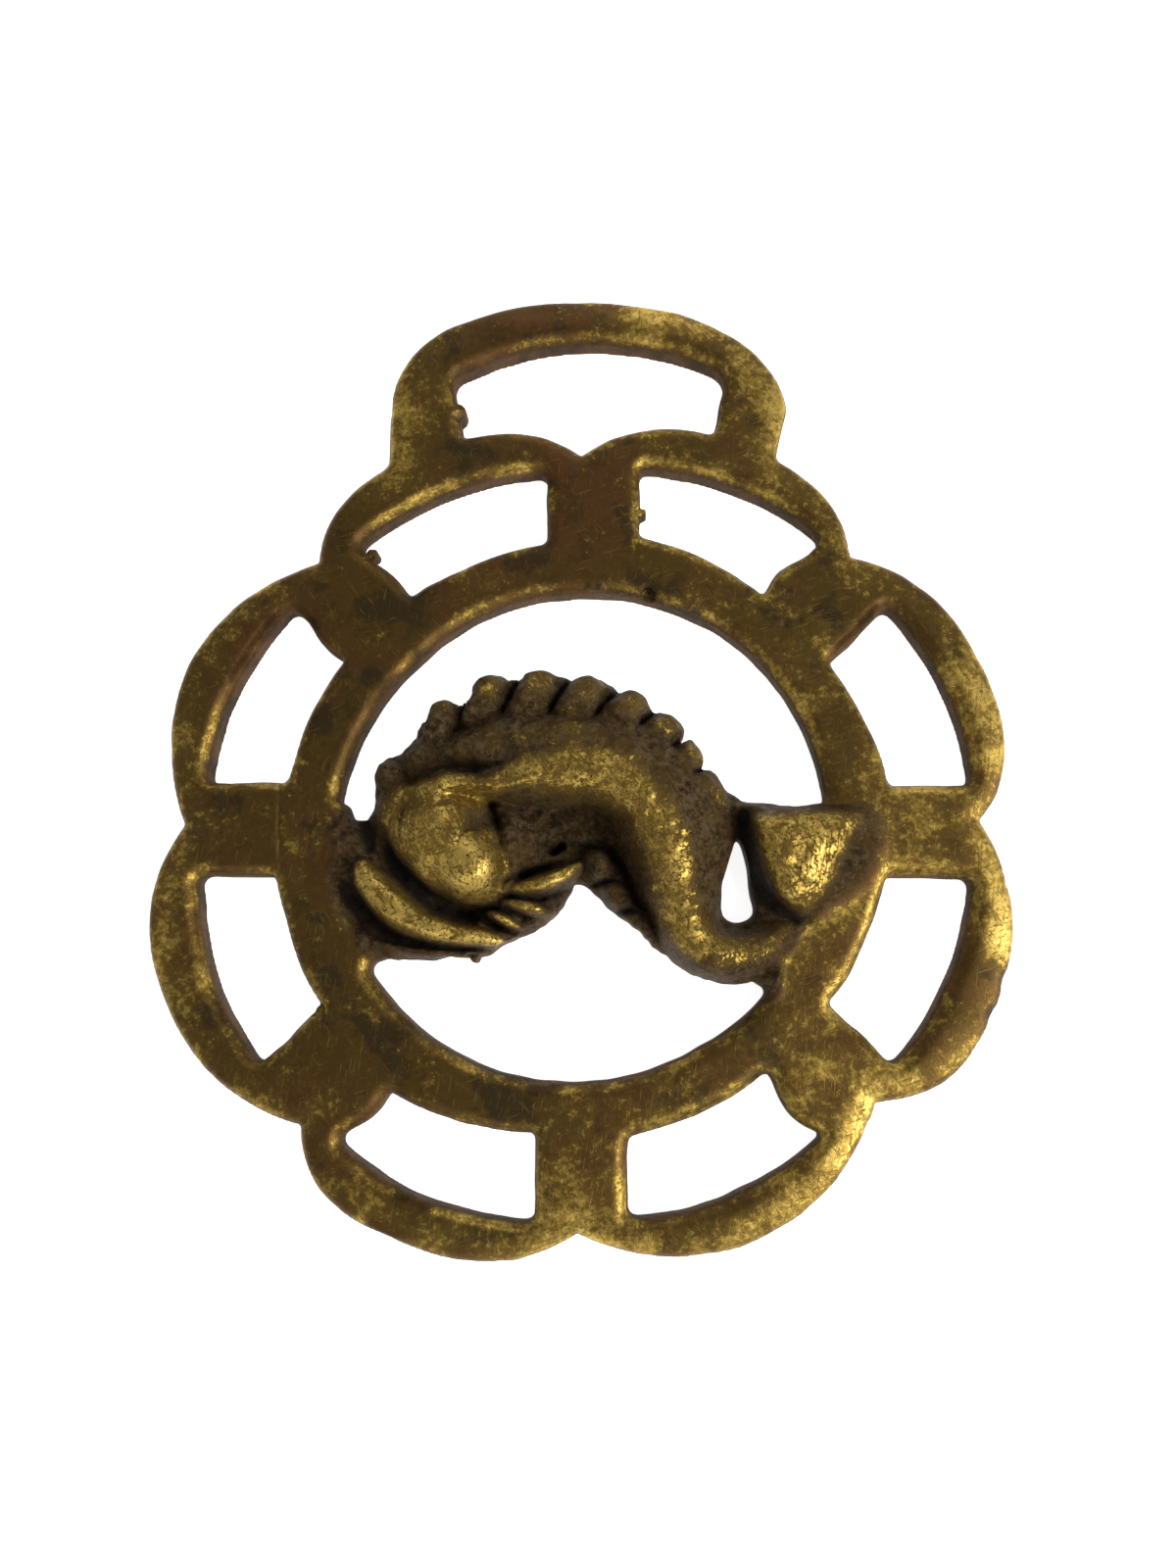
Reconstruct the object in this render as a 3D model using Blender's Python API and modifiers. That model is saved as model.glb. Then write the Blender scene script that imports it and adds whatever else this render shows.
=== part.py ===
"""A cast horse brass lying on its flat back: an openwork ring of eight lobes under a strap hanger,
with a dolphin in relief across the ring. Metres, +Y towards the hanger, +Z out of the front."""
from collections import namedtuple
import math

import bmesh
import bpy
from mathutils import Vector

MM = 0.001

# The plate
PLATE = 3.0 * MM
FRONT_EDGE = 0.7 * MM
BACK_TRIM = 1.0 * MM
POINT_STEP = 2.1 * MM
RING_CORNER = 0.7 * MM
RIM_CORNER = 2.8 * MM
SLOT_CORNER = 1.0 * MM
LEAST_STEP = 0.45 * MM

# The ring: its bore sits a little off the centre of the lobes
RING_BORE = 44.9 * MM
RING_SHIFT = Vector((-0.35 * MM, 0.5 * MM))
RING_OVAL = 0.3 * MM
RING_OVAL_TURN = 45.0
RING_POINTS = 72

# The radius of the notches between the lobes, which sets how wide and tall the whole brass is
NOTCH_RING = 36.0 * MM

# The notches, by the spoke behind each: direction in degrees, and how far out of their ring in millimetres
Notch = namedtuple("Notch", "spoke direction out")
NOTCHES = [
    Notch("east", 1.9, -0.3),
    Notch("north_east", 46.3, 0.35),
    Notch("north", 90.5, 0.95),
    Notch("north_west", 134.1, 0.6),
    Notch("west", 178.5, 0.8),
    Notch("south_west", 226.1, -0.2),
    Notch("south", 269.4, -1.55),
    Notch("south_east", 317.3, -1.6),
]
SPOKE_TURN = 45.0

# The lobes, each from one notch round to the next, in millimetres. rise: how far the crest stands out
# beyond its notches; crest_at: where, as a share of the way; fullness: how square the lobe is; band and
# rim: the widths of the ring inside its window and of the lobe outside it, at the window's two ends;
# sides: how far the window keeps from the middle of the spokes before and after it.
Lobe = namedtuple("Lobe", "name rise crest_at fullness band rim sides")
LOBES = [
    Lobe("upper_right", 3.9, 0.42, 2.7, (5.8, 5.1), (4.4, 4.4), (4.4, 4.8)),
    Lobe("top_right", 4.0, 0.47, 2.8, (5.3, 6.0), (4.7, 4.7), (3.9, 5.2)),
    Lobe("top_left", 3.9, 0.57, 3.2, (5.3, 5.2), (5.3, 5.3), (3.7, 4.4)),
    Lobe("upper_left", 4.1, 0.50, 1.75, (5.2, 5.1), (5.4, 5.4), (4.2, 4.9)),
    Lobe("lower_left", 4.3, 0.42, 2.2, (5.5, 5.2), (5.2, 5.2), (3.7, 5.7)),
    Lobe("bottom_left", 3.6, 0.38, 3.0, (6.0, 4.4), (4.3, 4.9), (3.9, 4.0)),
    Lobe("bottom_right", 3.5, 0.52, 2.2, (5.0, 4.8), (4.4, 4.4), (4.0, 3.4)),
    Lobe("lower_right", 4.4, 0.38, 2.5, (4.8, 5.5), (5.5, 4.3), (4.7, 3.95)),
]
LOBE_POINTS = 15
WINDOW_SWELL = 0.35 * MM

# The hanger and its strap slot
HANGER_LEFT = 19.05 * MM
HANGER_RIGHT = 19.35 * MM
HANGER_RISE = 17.0 * MM
SHOULDER_RISE = 5.0 * MM
HANGER_TOP = NOTCH_RING + HANGER_RISE
HANGER_SHOULDER = NOTCH_RING + SHOULDER_RISE
HANGER_LEFT_FULLNESS = 2.45
HANGER_RIGHT_FULLNESS = 2.0
HANGER_RIGHT_LEAN = 0.2
HANGER_POINTS = 30
UPWARDS = 90.0
RIGHT_FOOT_SEARCH = (80.0, 50.0)
LEFT_FOOT_SEARCH = (100.0, 130.0)
HANGER_BAR = 4.4 * MM
HANGER_LEG_TOP = 5.8 * MM
HANGER_LEG_FOOT = 7.3 * MM
SILL_SEARCH = 0.2
SLOT_SAG = 3.5 * MM
SLOT_SHIFT = 0.2 * MM

# The dolphin: its places and widths below are hundredths of the bore's radius, and its heights are
# hundredths of the relief, measured from the back
RELIEF = 9.0 * MM
FIGURE = RING_BORE / 2 / 100
WEB_SEAT = 2.2 * MM
WEB_DROP = 0.12 * MM
VOXEL = 0.4 * MM
FIGURE_KEEP = 0.13
SMOOTH_PASSES = 5

CREST_CENTRE = (-11.5, 4.5)
CREST_TIP = 69.2
CREST_FLARE = 4.0
CREST_REACH = 16.5
CREST_WIDTH = 11.8
CREST_HEIGHT = 56.0
CREST_LOBES = 8
CREST_FIRST = 132.0
CREST_SWEEP = 118.0
CREST_CROWDING = 0.92
CREST_TAPER = 0.25
CREST_LEAN_FIRST = 72.0
CREST_LEAN_LAST = 30.0

Dome = namedtuple("Dome", "name at radii height turn")
DOMES = [
    Dome("forehead", (-48.0, -2.5), (25.5, 30.0), 100, 22),
    Dome("temple", (-41.0, -13.0), (19.0, 17.0), 90, 0),
    Dome("cheek", (-20.0, -4.0), (21.0, 20.0), 44, 0),
    Dome("mouth", (-61.0, -17.0), (25.0, 24.0), 44, 0),
    Dome("knob", (-77.0, 23.0), (8.4, 8.4), 50, 0),
    Dome("nape", (-72.0, 9.0), (12.0, 16.0), 56, 0),
    Dome("fin_root", (-21.0, -27.0), (17.0, 10.5), 44, 22),
    Dome("belly_lump", (7.0, -11.0), (8.0, 12.0), 46, 28),
    Dome("belly_low", (20.0, -26.0), (9.0, 12.0), 44, 40),
]

# Ridges run through places with a half width at each; height is the top of the widest stretch
Ridge = namedtuple("Ridge", "name height path")
RIDGES = [
    Ridge("brow", 84, [(-56, 16, 7), (-44, 19, 8), (-30, 19, 8), (-17, 21, 8)]),
    Ridge("back_ridge", 92, [
        (-32, 20, 9), (-14, 23, 13.5), (4, 24, 16), (18.5, 17, 17), (29, 3, 16.5), (34.5, -15.5, 15),
        (39, -31, 13.5), (46, -43.5, 12.3), (57.5, -49, 11.2), (69, -46.5, 9.4), (80, -40, 6.2)]),
    Ridge("flank", 74, [
        (-45, 25, 13), (-24.5, 30, 16.5), (-4.5, 33, 17.5), (14.5, 30.5, 17.5), (29, 19.5, 17), (39, 6, 15.5),
        (43, -9, 13.5), (44, -24, 11)]),
    Ridge("jaw", 64, [
        (-85, -13, 6.5), (-78.5, -25, 8), (-69, -33, 8.6), (-57.5, -38, 8.4), (-45.5, -39.5, 7.4),
        (-34, -41, 4.8)]),
    Ridge("chin", 36, [(-83, -41, 5.5), (-65, -43.5, 5), (-47, -42.5, 5)]),
    Ridge("fin_upper", 58, [(-27, -22, 5.4), (-13, -18.5, 5), (-2, -14, 3.8)]),
    Ridge("fin_middle", 55, [(-29, -29, 5), (-14, -31, 4.2)]),
    Ridge("fin_lower", 50, [(-36, -34, 4.6), (-25, -37.5, 4)]),
    Ridge("fluke", 66, [(83, -29, 7), (82, -15, 13), (83, -2, 16.5)]),
    Ridge("fluke_left", 52, [(79, -8, 10), (72, 4, 7.5), (66, 9, 5)]),
    Ridge("fluke_right", 56, [(87, -10, 9), (96, -1, 8), (103, 6, 5.5)]),
]
RIDGE_PATH_POINTS = 6
RIDGE_ROUND_POINTS = 4

# The web's edge between the ring and the figure, going round clockwise from the crest's right end
WEB_TOP_RIGHT = [(60, 16), (70, 12.8), (84, 11), (98, 12.5)]
WEB_BELLY = [(71, -60.5), (52, -59), (35, -50), (22, -39), (8.5, -29), (-1.3, -19.8)]
WEB_CHIN = [(-10.7, -31), (-22, -38.8), (-33, -43.7), (-43, -47), (-65, -48.5), (-83, -50.5)]
WEB_NECK = [(-99, 13), (-95, 6.5), (-89.5, 6), (-85, 12), (-85.5, 23), (-79, 31), (-71, 37), (-66.5, 47)]
WEB_RIGHT_SWEEP = (6.0, -42.0)
WEB_LEFT_SWEEP = (214.0, 178.0)
WEB_CREST_SWEEP = (140.0, 14.0)
WEB_CREST_RADIUS = 61.0
WEB_SWEEP_POINTS = 7
WEB_CREST_POINTS = 12

# The small gap between the tail and the fluke
TAIL_GAP = [
    (62.5, -2), (66, -12), (67, -23), (68.3, -31.5), (62.5, -35.3), (56.3, -33), (55.3, -23), (58, -12)]

BRASS_COLOUR = (0.40, 0.29, 0.10, 1.0)
BRASS_ROUGHNESS = 0.42


def clear_scene():
    for obj in list(bpy.data.objects):
        bpy.data.objects.remove(obj, do_unlink=True)


def new_collection(name):
    made = bpy.data.collections.new(name)
    bpy.context.scene.collection.children.link(made)
    return made


def polar(radius, degrees):
    angle = math.radians(degrees)
    return Vector((radius * math.cos(angle), radius * math.sin(angle)))


def between(a, b, share):
    return a + (b - a) * share


def side_turn(distance, radius):
    """Degrees by which a line at this distance from a spoke's middle has left it at this radius."""
    return math.degrees(math.asin(distance / radius))


def lobe_spans():
    """Each lobe with the notches before and after it."""
    for k, lobe in enumerate(LOBES):
        before = NOTCHES[k]
        after = NOTCHES[(k + 1) % len(NOTCHES)]
        if after.direction < before.direction:
            after = after._replace(direction=after.direction + 360)
        yield k, lobe, before, after


def notch_radius(before, after, share):
    return NOTCH_RING + between(before.out, after.out, share) * MM


def lobe_radius(lobe, before, after, share):
    """Radius of a lobe's outer line at a share of the way between its notches."""
    if share < lobe.crest_at:
        away = (lobe.crest_at - share) / lobe.crest_at
    else:
        away = (share - lobe.crest_at) / (1 - lobe.crest_at)
    return notch_radius(before, after, share) + lobe.rise * MM * (1 - away ** lobe.fullness)


def scallop_radius(degrees):
    """Radius of the ring of lobes in a direction."""
    for _, lobe, before, after in lobe_spans():
        turned = before.direction + (degrees - before.direction) % 360
        if turned <= after.direction:
            share = (turned - before.direction) / (after.direction - before.direction)
            return lobe_radius(lobe, before, after, share)
    return NOTCH_RING


def bore_radius(degrees):
    """Radius of the bore, which was cast a little oval and off the middle."""
    oval = RING_OVAL * math.cos(2 * math.radians(degrees - RING_OVAL_TURN))
    return RING_BORE / 2 + oval + RING_SHIFT.dot(polar(1, degrees))


def hanger_radius(degrees):
    """Radius of the hanger's outer line in a direction: straight legs up to the shoulder, a full arch above."""
    low, high = 0.0, 2 * HANGER_TOP
    arch = HANGER_TOP - HANGER_SHOULDER
    for _ in range(40):
        radius = (low + high) / 2
        place = polar(radius, degrees)
        below = max(0.0, HANGER_SHOULDER - place.y)
        if place.x > 0:
            half, fullness = HANGER_RIGHT - HANGER_RIGHT_LEAN * below, HANGER_RIGHT_FULLNESS
        else:
            half, fullness = HANGER_LEFT, HANGER_LEFT_FULLNESS
        across = abs(place.x) / half
        up = max(0.0, place.y - HANGER_SHOULDER) / arch
        if across ** fullness + up ** fullness > 1:
            high = radius
        else:
            low = radius
    return low


def hanger_foot(inside, outside):
    """Direction in which the hanger's leg leaves the lobes."""
    for _ in range(40):
        middle = (inside + outside) / 2
        if hanger_radius(middle) > scallop_radius(middle):
            inside = middle
        else:
            outside = middle
    return inside


def outline_of_frame():
    right_foot = hanger_foot(*RIGHT_FOOT_SEARCH)
    left_foot = hanger_foot(*LEFT_FOOT_SEARCH)
    line = []
    for _, lobe, before, after in lobe_spans():
        for step in range(LOBE_POINTS):
            share = step / LOBE_POINTS
            direction = between(before.direction, after.direction, share)
            if not right_foot - 1 < direction < left_foot + 1:
                line.append((direction % 360, lobe_radius(lobe, before, after, share)))
    for step in range(HANGER_POINTS + 1):
        direction = between(right_foot, left_foot, step / HANGER_POINTS)
        line.append((direction, hanger_radius(direction)))
    line.sort()
    return [polar(radius, direction) for direction, radius in line]


def edge_points(place, length):
    """Points along an edge given as a function of a share, spaced by about the point step."""
    steps = max(2, round(length / POINT_STEP))
    return [place(step / steps) for step in range(steps + 1)]


def straight_edge(start, end):
    return edge_points(lambda share: start.lerp(end, share), (end - start).length)


def trimmed(points, first, last):
    """The line without its first and last stretch, of these lengths."""
    for corner in (first, last):
        left = min(corner, (points[-1] - points[0]).length / 3)
        while (points[1] - points[0]).length < left:
            left -= (points[1] - points[0]).length
            points = points[1:]
        start = points[0] + (points[1] - points[0]).normalized() * left
        points = [start] + points[1:]
        points = points[::-1]
    return points


def rounded_loop(edges, corners):
    """Joins edges end to end into a closed line, rounding the corner after each edge by its own length."""
    cut = [trimmed(edge, corners[k - 1], corners[k]) for k, edge in enumerate(edges)]
    line = []
    for k, edge in enumerate(cut):
        corner = edges[k][-1]
        start, end = edge[-1], cut[(k + 1) % len(cut)][0]
        line += edge
        line.append((start + 2 * corner + end) / 4)
    return spaced(line)


def spaced(line):
    """Drops points that crowd the one before them, which would fold the rounded front edge."""
    kept = []
    for point in line:
        if not kept or (point - kept[-1]).length > LEAST_STEP:
            kept.append(point)
    return kept


def window(k, lobe, before, after):
    """The opening inside a lobe, between the ring, the lobe's rim and two spokes."""
    start_spoke = SPOKE_TURN * k
    end_spoke = start_spoke + SPOKE_TURN
    crest = notch_radius(before, after, lobe.crest_at) + lobe.rise * MM

    def direction(radius, share):
        start = start_spoke + side_turn(lobe.sides[0] * MM, radius)
        end = end_spoke - side_turn(lobe.sides[1] * MM, radius)
        return between(start, end, share)

    def ring_side(share):
        middle = between(start_spoke, end_spoke, share)
        radius = bore_radius(middle) + between(*lobe.band, share) * MM
        return polar(radius, direction(radius, share))

    def rim_side(share):
        swell = WINDOW_SWELL * math.sin(math.pi * share)
        radius = crest - between(*lobe.rim, share) * MM + swell
        return polar(radius, direction(radius, share))

    arc = math.radians(SPOKE_TURN / 2) * crest
    inner = edge_points(ring_side, arc)
    outer = edge_points(rim_side, arc)[::-1]
    end_side = straight_edge(inner[-1], outer[0])
    start_side = straight_edge(outer[-1], inner[0])
    corners = [RING_CORNER, RIM_CORNER, RIM_CORNER, RING_CORNER]
    return rounded_loop([inner, end_side, outer, start_side], corners)


def slot():
    """The strap slot: an arched top, leaning legs, and the tops of the two upper lobes below."""
    top = HANGER_TOP - HANGER_BAR
    half_width = (HANGER_LEFT + HANGER_RIGHT) / 2
    middle = (HANGER_RIGHT - HANGER_LEFT) / 2 + SLOT_SHIFT
    head = half_width - HANGER_LEG_TOP
    foot = half_width - HANGER_LEG_FOOT
    arc_radius = (head ** 2 + SLOT_SAG ** 2) / (2 * SLOT_SAG)
    centre = Vector((middle, top - arc_radius))
    half_turn = math.degrees(math.asin(head / arc_radius))
    north = NOTCHES[2].direction

    def arch(share):
        return centre + polar(arc_radius, between(UPWARDS - half_turn, UPWARDS + half_turn, share))

    def sill_end(side):
        """The direction in which the lobes' tops reach this far out."""
        direction = UPWARDS
        while abs(polar(scallop_radius(direction), direction).x - middle) < foot:
            direction -= side * SILL_SEARCH
        return direction

    def sill(start, end):
        def place(share):
            degrees = between(start, end, share)
            return polar(scallop_radius(degrees), degrees)
        return place

    left = edge_points(sill(sill_end(-1), north), foot)
    right = edge_points(sill(north, sill_end(1)), foot)
    upper = edge_points(arch, 2 * head)
    right_leg = straight_edge(right[-1], upper[0])
    left_leg = straight_edge(upper[-1], left[0])
    return rounded_loop([left + right[1:], right_leg, upper, left_leg], [SLOT_CORNER] * 4)


def bore():
    turns = [360 * step / RING_POINTS for step in range(RING_POINTS)]
    return [polar(bore_radius(turn), turn) for turn in turns]


def flat_curve(name, loops, bottom, top, edge=0.0, smooth=False):
    """A 2D curve filled between its loops and extruded from bottom to top, its edges rounded inwards."""
    data = bpy.data.curves.new(name, "CURVE")
    data.dimensions = "2D"
    data.fill_mode = "BOTH"
    data.bevel_depth = edge
    data.bevel_resolution = 1
    data.offset = -edge
    data.extrude = (top - bottom) / 2 - edge
    data.resolution_u = 3
    for loop in loops:
        spline = data.splines.new("BEZIER" if smooth else "POLY")
        points = spline.bezier_points if smooth else spline.points
        points.add(len(loop) - 1)
        for target, point in zip(points, loop):
            if smooth:
                target.co = (point.x, point.y, 0)
                target.handle_left_type = target.handle_right_type = "AUTO"
            else:
                target.co = (point.x, point.y, 0, 1)
        spline.use_cyclic_u = True
    obj = bpy.data.objects.new(name, data)
    obj.location.z = (top + bottom) / 2
    return obj


def as_mesh(obj, collection):
    """The object as the viewport evaluates it, as a plain mesh in place of it, with its caps welded on."""
    name = obj.name
    collection.objects.link(obj)
    bpy.context.view_layer.update()
    graph = bpy.context.evaluated_depsgraph_get()
    mesh = bpy.data.meshes.new_from_object(obj.evaluated_get(graph))
    matrix = obj.matrix_world.copy()
    bpy.data.objects.remove(obj, do_unlink=True)
    mesh.transform(matrix)
    work = bmesh.new()
    work.from_mesh(mesh)
    bmesh.ops.remove_doubles(work, verts=work.verts, dist=0.001 * MM)
    bmesh.ops.recalc_face_normals(work, faces=work.faces)
    work.to_mesh(mesh)
    work.free()
    made = bpy.data.objects.new(name, mesh)
    collection.objects.link(made)
    return made


def figure_place(x, y):
    return Vector((x * FIGURE, y * FIGURE))


def dome(form, collection):
    """Half an ellipsoid standing on the back plane, as a relief is carved."""
    bpy.ops.mesh.primitive_uv_sphere_add(segments=32, ring_count=20, radius=1)
    obj = bpy.context.object
    obj.name = form.name
    place = figure_place(*form.at)
    obj.location = (place.x, place.y, 0)
    obj.rotation_euler.z = math.radians(form.turn)
    obj.scale = (form.radii[0] * FIGURE, form.radii[1] * FIGURE, form.height / 100 * RELIEF)
    for owner in list(obj.users_collection):
        owner.objects.unlink(obj)
    return as_mesh(obj, collection)


def ridge(form, collection):
    """A tube along a smooth path, stretched upwards to its height, with a dome on each end."""
    widest = max(half for _, _, half in form.path) * FIGURE
    data = bpy.data.curves.new(form.name, "CURVE")
    data.dimensions = "3D"
    data.bevel_depth = 1.0
    data.bevel_resolution = RIDGE_ROUND_POINTS
    data.resolution_u = RIDGE_PATH_POINTS
    data.use_fill_caps = True
    spline = data.splines.new("BEZIER")
    spline.bezier_points.add(len(form.path) - 1)
    for target, (x, y, half) in zip(spline.bezier_points, form.path):
        place = figure_place(x, y)
        target.co = (place.x, place.y, 0)
        target.handle_left_type = target.handle_right_type = "AUTO"
        target.radius = half * FIGURE
    obj = bpy.data.objects.new(form.name, data)
    stretch = form.height / 100 * RELIEF / widest
    obj.scale.z = stretch
    pieces = [as_mesh(obj, collection)]
    for end, (x, y, half) in (("start", form.path[0]), ("end", form.path[-1])):
        height = stretch * half * FIGURE / RELIEF * 100
        cap = Dome(f"{form.name}_{end}", (x, y), (half, half), height, 0)
        pieces.append(dome(cap, collection))
    return pieces


def crest_lobes():
    """The scalloped fin along the back: fingers that all lean one way, and crowd towards the tail."""
    for k in range(CREST_LOBES):
        share = k / (CREST_LOBES - 1)
        direction = CREST_FIRST - CREST_SWEEP * share ** CREST_CROWDING
        lean = between(CREST_LEAN_FIRST, CREST_LEAN_LAST, share)
        width = CREST_WIDTH * (1 - CREST_TAPER * share)
        tip = CREST_TIP + CREST_FLARE * (2 * share - 1) ** 2
        round_end = polar(tip - width, direction)
        place = Vector(CREST_CENTRE) + round_end - polar(CREST_REACH - width, lean)
        yield Dome(f"crest_{k + 1}", tuple(place), (CREST_REACH, width), CREST_HEIGHT, lean)


def web():
    """The plate under the figure, from the ring's band on one side to the other."""
    def turns(sweep, count):
        return [between(*sweep, step / (count - 1)) for step in range(count)]

    crest_radius = WEB_CREST_RADIUS * FIGURE
    crest = [figure_place(*CREST_CENTRE) + polar(crest_radius, turn)
             for turn in turns(WEB_CREST_SWEEP, WEB_CREST_POINTS)]
    right, left = [[polar(bore_radius(turn) + WEB_SEAT, turn) for turn in turns(sweep, WEB_SWEEP_POINTS)]
                   for sweep in (WEB_RIGHT_SWEEP, WEB_LEFT_SWEEP)]
    named = (WEB_TOP_RIGHT, WEB_BELLY, WEB_CHIN, WEB_NECK)
    top_right, belly, chin, neck = [[figure_place(*point) for point in part] for part in named]
    loop = crest + top_right + right + belly + chin + left + neck
    return flat_curve("web", [loop], -BACK_TRIM, PLATE - WEB_DROP, smooth=True)


def joined(pieces, name):
    """Several meshes as one mesh of separate shells, for the remesh to fuse."""
    work = bmesh.new()
    for piece in pieces:
        work.from_mesh(piece.data)
        bpy.data.objects.remove(piece, do_unlink=True)
    mesh = bpy.data.meshes.new(name)
    work.to_mesh(mesh)
    work.free()
    return bpy.data.objects.new(name, mesh)


def cut_below(obj, height):
    """Cuts the mesh flat and closes it."""
    work = bmesh.new()
    work.from_mesh(obj.data)
    everything = work.verts[:] + work.edges[:] + work.faces[:]
    plane = {"plane_co": (0, 0, height), "plane_no": (0, 0, 1)}
    bmesh.ops.bisect_plane(work, geom=everything, clear_inner=True, **plane)
    rim = [edge for edge in work.edges if edge.is_boundary]
    bmesh.ops.triangle_fill(work, edges=rim, use_beauty=True)
    bmesh.ops.recalc_face_normals(work, faces=work.faces)
    work.to_mesh(obj.data)
    work.free()


def dolphin(collection):
    """The figure's forms fused by a voxel remesh, smoothed, and thinned to few faces."""
    pieces = [as_mesh(web(), collection)]
    pieces += [dome(form, collection) for form in DOMES + list(crest_lobes())]
    for form in RIDGES:
        pieces += ridge(form, collection)
    fused = joined(pieces, "dolphin")
    remesh = fused.modifiers.new("fuse", "REMESH")
    remesh.mode = "VOXEL"
    remesh.voxel_size = VOXEL
    smooth = fused.modifiers.new("soften", "SMOOTH")
    smooth.factor = 0.5
    smooth.iterations = SMOOTH_PASSES
    fused = as_mesh(fused, collection)
    cut_below(fused, -BACK_TRIM / 2)
    collection.objects.unlink(fused)
    thin = fused.modifiers.new("thin", "DECIMATE")
    thin.ratio = FIGURE_KEEP
    return as_mesh(fused, collection)


def helper(obj):
    obj.hide_render = True
    obj.display_type = "WIRE"
    return obj


def cut_with(target, tool, operation):
    step = target.modifiers.new(tool.name, "BOOLEAN")
    step.operation = operation
    step.solver = "MANIFOLD"
    step.object = tool


def back_slab(cutters):
    """What is cut away behind the flat back."""
    bpy.ops.mesh.primitive_cube_add(size=1)
    slab = bpy.context.object
    slab.name = "behind_back"
    slab.scale = (4 * HANGER_TOP, 4 * HANGER_TOP, 2 * RELIEF)
    slab.location.z = -RELIEF
    for owner in list(slab.users_collection):
        owner.objects.unlink(slab)
    return helper(as_mesh(slab, cutters))


def brass():
    material = bpy.data.materials.new("aged_brass")
    material.use_nodes = True
    shader = material.node_tree.nodes["Principled BSDF"]
    shader.inputs["Base Color"].default_value = BRASS_COLOUR
    shader.inputs["Metallic"].default_value = 1.0
    shader.inputs["Roughness"].default_value = BRASS_ROUGHNESS
    return material


def main():
    clear_scene()
    parts = new_collection("horse_brass")
    cutters = new_collection("cutters")
    loops = [outline_of_frame(), bore(), slot()]
    loops += [window(k, lobe, before, after) for k, lobe, before, after in lobe_spans()]
    outline = flat_curve("horse_brass", loops, -BACK_TRIM, PLATE, edge=FRONT_EDGE)
    frame = as_mesh(outline, parts)
    figure = helper(dolphin(cutters))
    gap = [figure_place(*point) for point in TAIL_GAP]
    gap_prism = flat_curve("tail_gap", [gap], -2 * RELIEF, 2 * RELIEF, smooth=True)
    tail_gap = helper(as_mesh(gap_prism, cutters))
    cut_with(frame, figure, "UNION")
    cut_with(frame, tail_gap, "DIFFERENCE")
    cut_with(frame, back_slab(cutters), "DIFFERENCE")
    frame.data.materials.append(brass())


main()
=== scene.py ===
"""The looks of a cast horse brass that lies on its back: a dolphin in relief across a ring of eight lobes,
dark with age and worn bright where it is rubbed. The casting is carved as a height field, in millimetres,
over the plan of the solid, and then turned into one closed mesh."""

import math
from collections import namedtuple

import bpy
import numpy as np
from mathutils import Matrix, Vector, kdtree


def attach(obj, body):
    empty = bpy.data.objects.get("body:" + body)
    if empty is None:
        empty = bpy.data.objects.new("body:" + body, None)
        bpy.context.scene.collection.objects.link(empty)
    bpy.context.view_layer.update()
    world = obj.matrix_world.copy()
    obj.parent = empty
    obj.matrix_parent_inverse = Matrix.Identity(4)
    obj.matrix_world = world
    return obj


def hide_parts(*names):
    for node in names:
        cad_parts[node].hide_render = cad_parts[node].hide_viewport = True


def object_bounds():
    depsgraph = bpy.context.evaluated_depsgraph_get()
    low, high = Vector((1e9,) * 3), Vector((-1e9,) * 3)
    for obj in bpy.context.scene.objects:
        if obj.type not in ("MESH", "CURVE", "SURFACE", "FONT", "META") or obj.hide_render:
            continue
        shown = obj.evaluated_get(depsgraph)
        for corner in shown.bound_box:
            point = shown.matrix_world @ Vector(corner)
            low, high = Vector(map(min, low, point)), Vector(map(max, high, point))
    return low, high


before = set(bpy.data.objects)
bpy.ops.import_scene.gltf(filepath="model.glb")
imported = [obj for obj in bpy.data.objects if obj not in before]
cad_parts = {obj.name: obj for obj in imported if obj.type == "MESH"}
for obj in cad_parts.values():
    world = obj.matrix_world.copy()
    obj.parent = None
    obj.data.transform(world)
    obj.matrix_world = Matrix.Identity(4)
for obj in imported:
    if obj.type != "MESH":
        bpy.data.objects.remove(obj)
cad_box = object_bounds()

MM = 0.001

# The grid that the casting is carved on
STEP = 0.2
MARGIN = 1.2
FIRST_LAYER = -0.3
HEADROOM = 0.6
TRIANGLES = 178000

# The steepest slope that the field in space allows for
STEEPEST = 3.0

# A distance past every edge, how far a path's work reaches at most, and a length too small to divide by
FAR = 10.0
PATH_REACH = 4.0
TINY = 1e-9

# The plate and its rounded front edges
PLATE = 3.0
FRONT_EDGE = 0.75
INNER_EDGE = 1.35
EDGE_CHANGE = (-3.0, -1.4)
OUTER_CROWN = 0.5
OUTER_CROWN_REACH = 3.2
RING_CORNER = 0.6
RIM_CORNER = 1.1
SLOT_CORNER = 1.4
SEAM = 0.7

# The ring's bore, a little oval and off the middle
RING_BORE = 44.9
RING_SHIFT = (-0.35, 0.5)
RING_OVAL = 0.3
RING_OVAL_TURN = 45.0

# The notches between the lobes: direction in degrees, radius
Notch = namedtuple("Notch", "direction radius")
NOTCHES = [Notch(*row) for row in (
    (1.9, 35.7), (46.3, 36.35), (90.5, 36.95), (134.1, 36.6), (178.5, 36.8), (226.1, 35.8), (269.4, 34.45),
    (317.3, 34.4))]
SPOKE_TURN = 45.0

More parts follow.
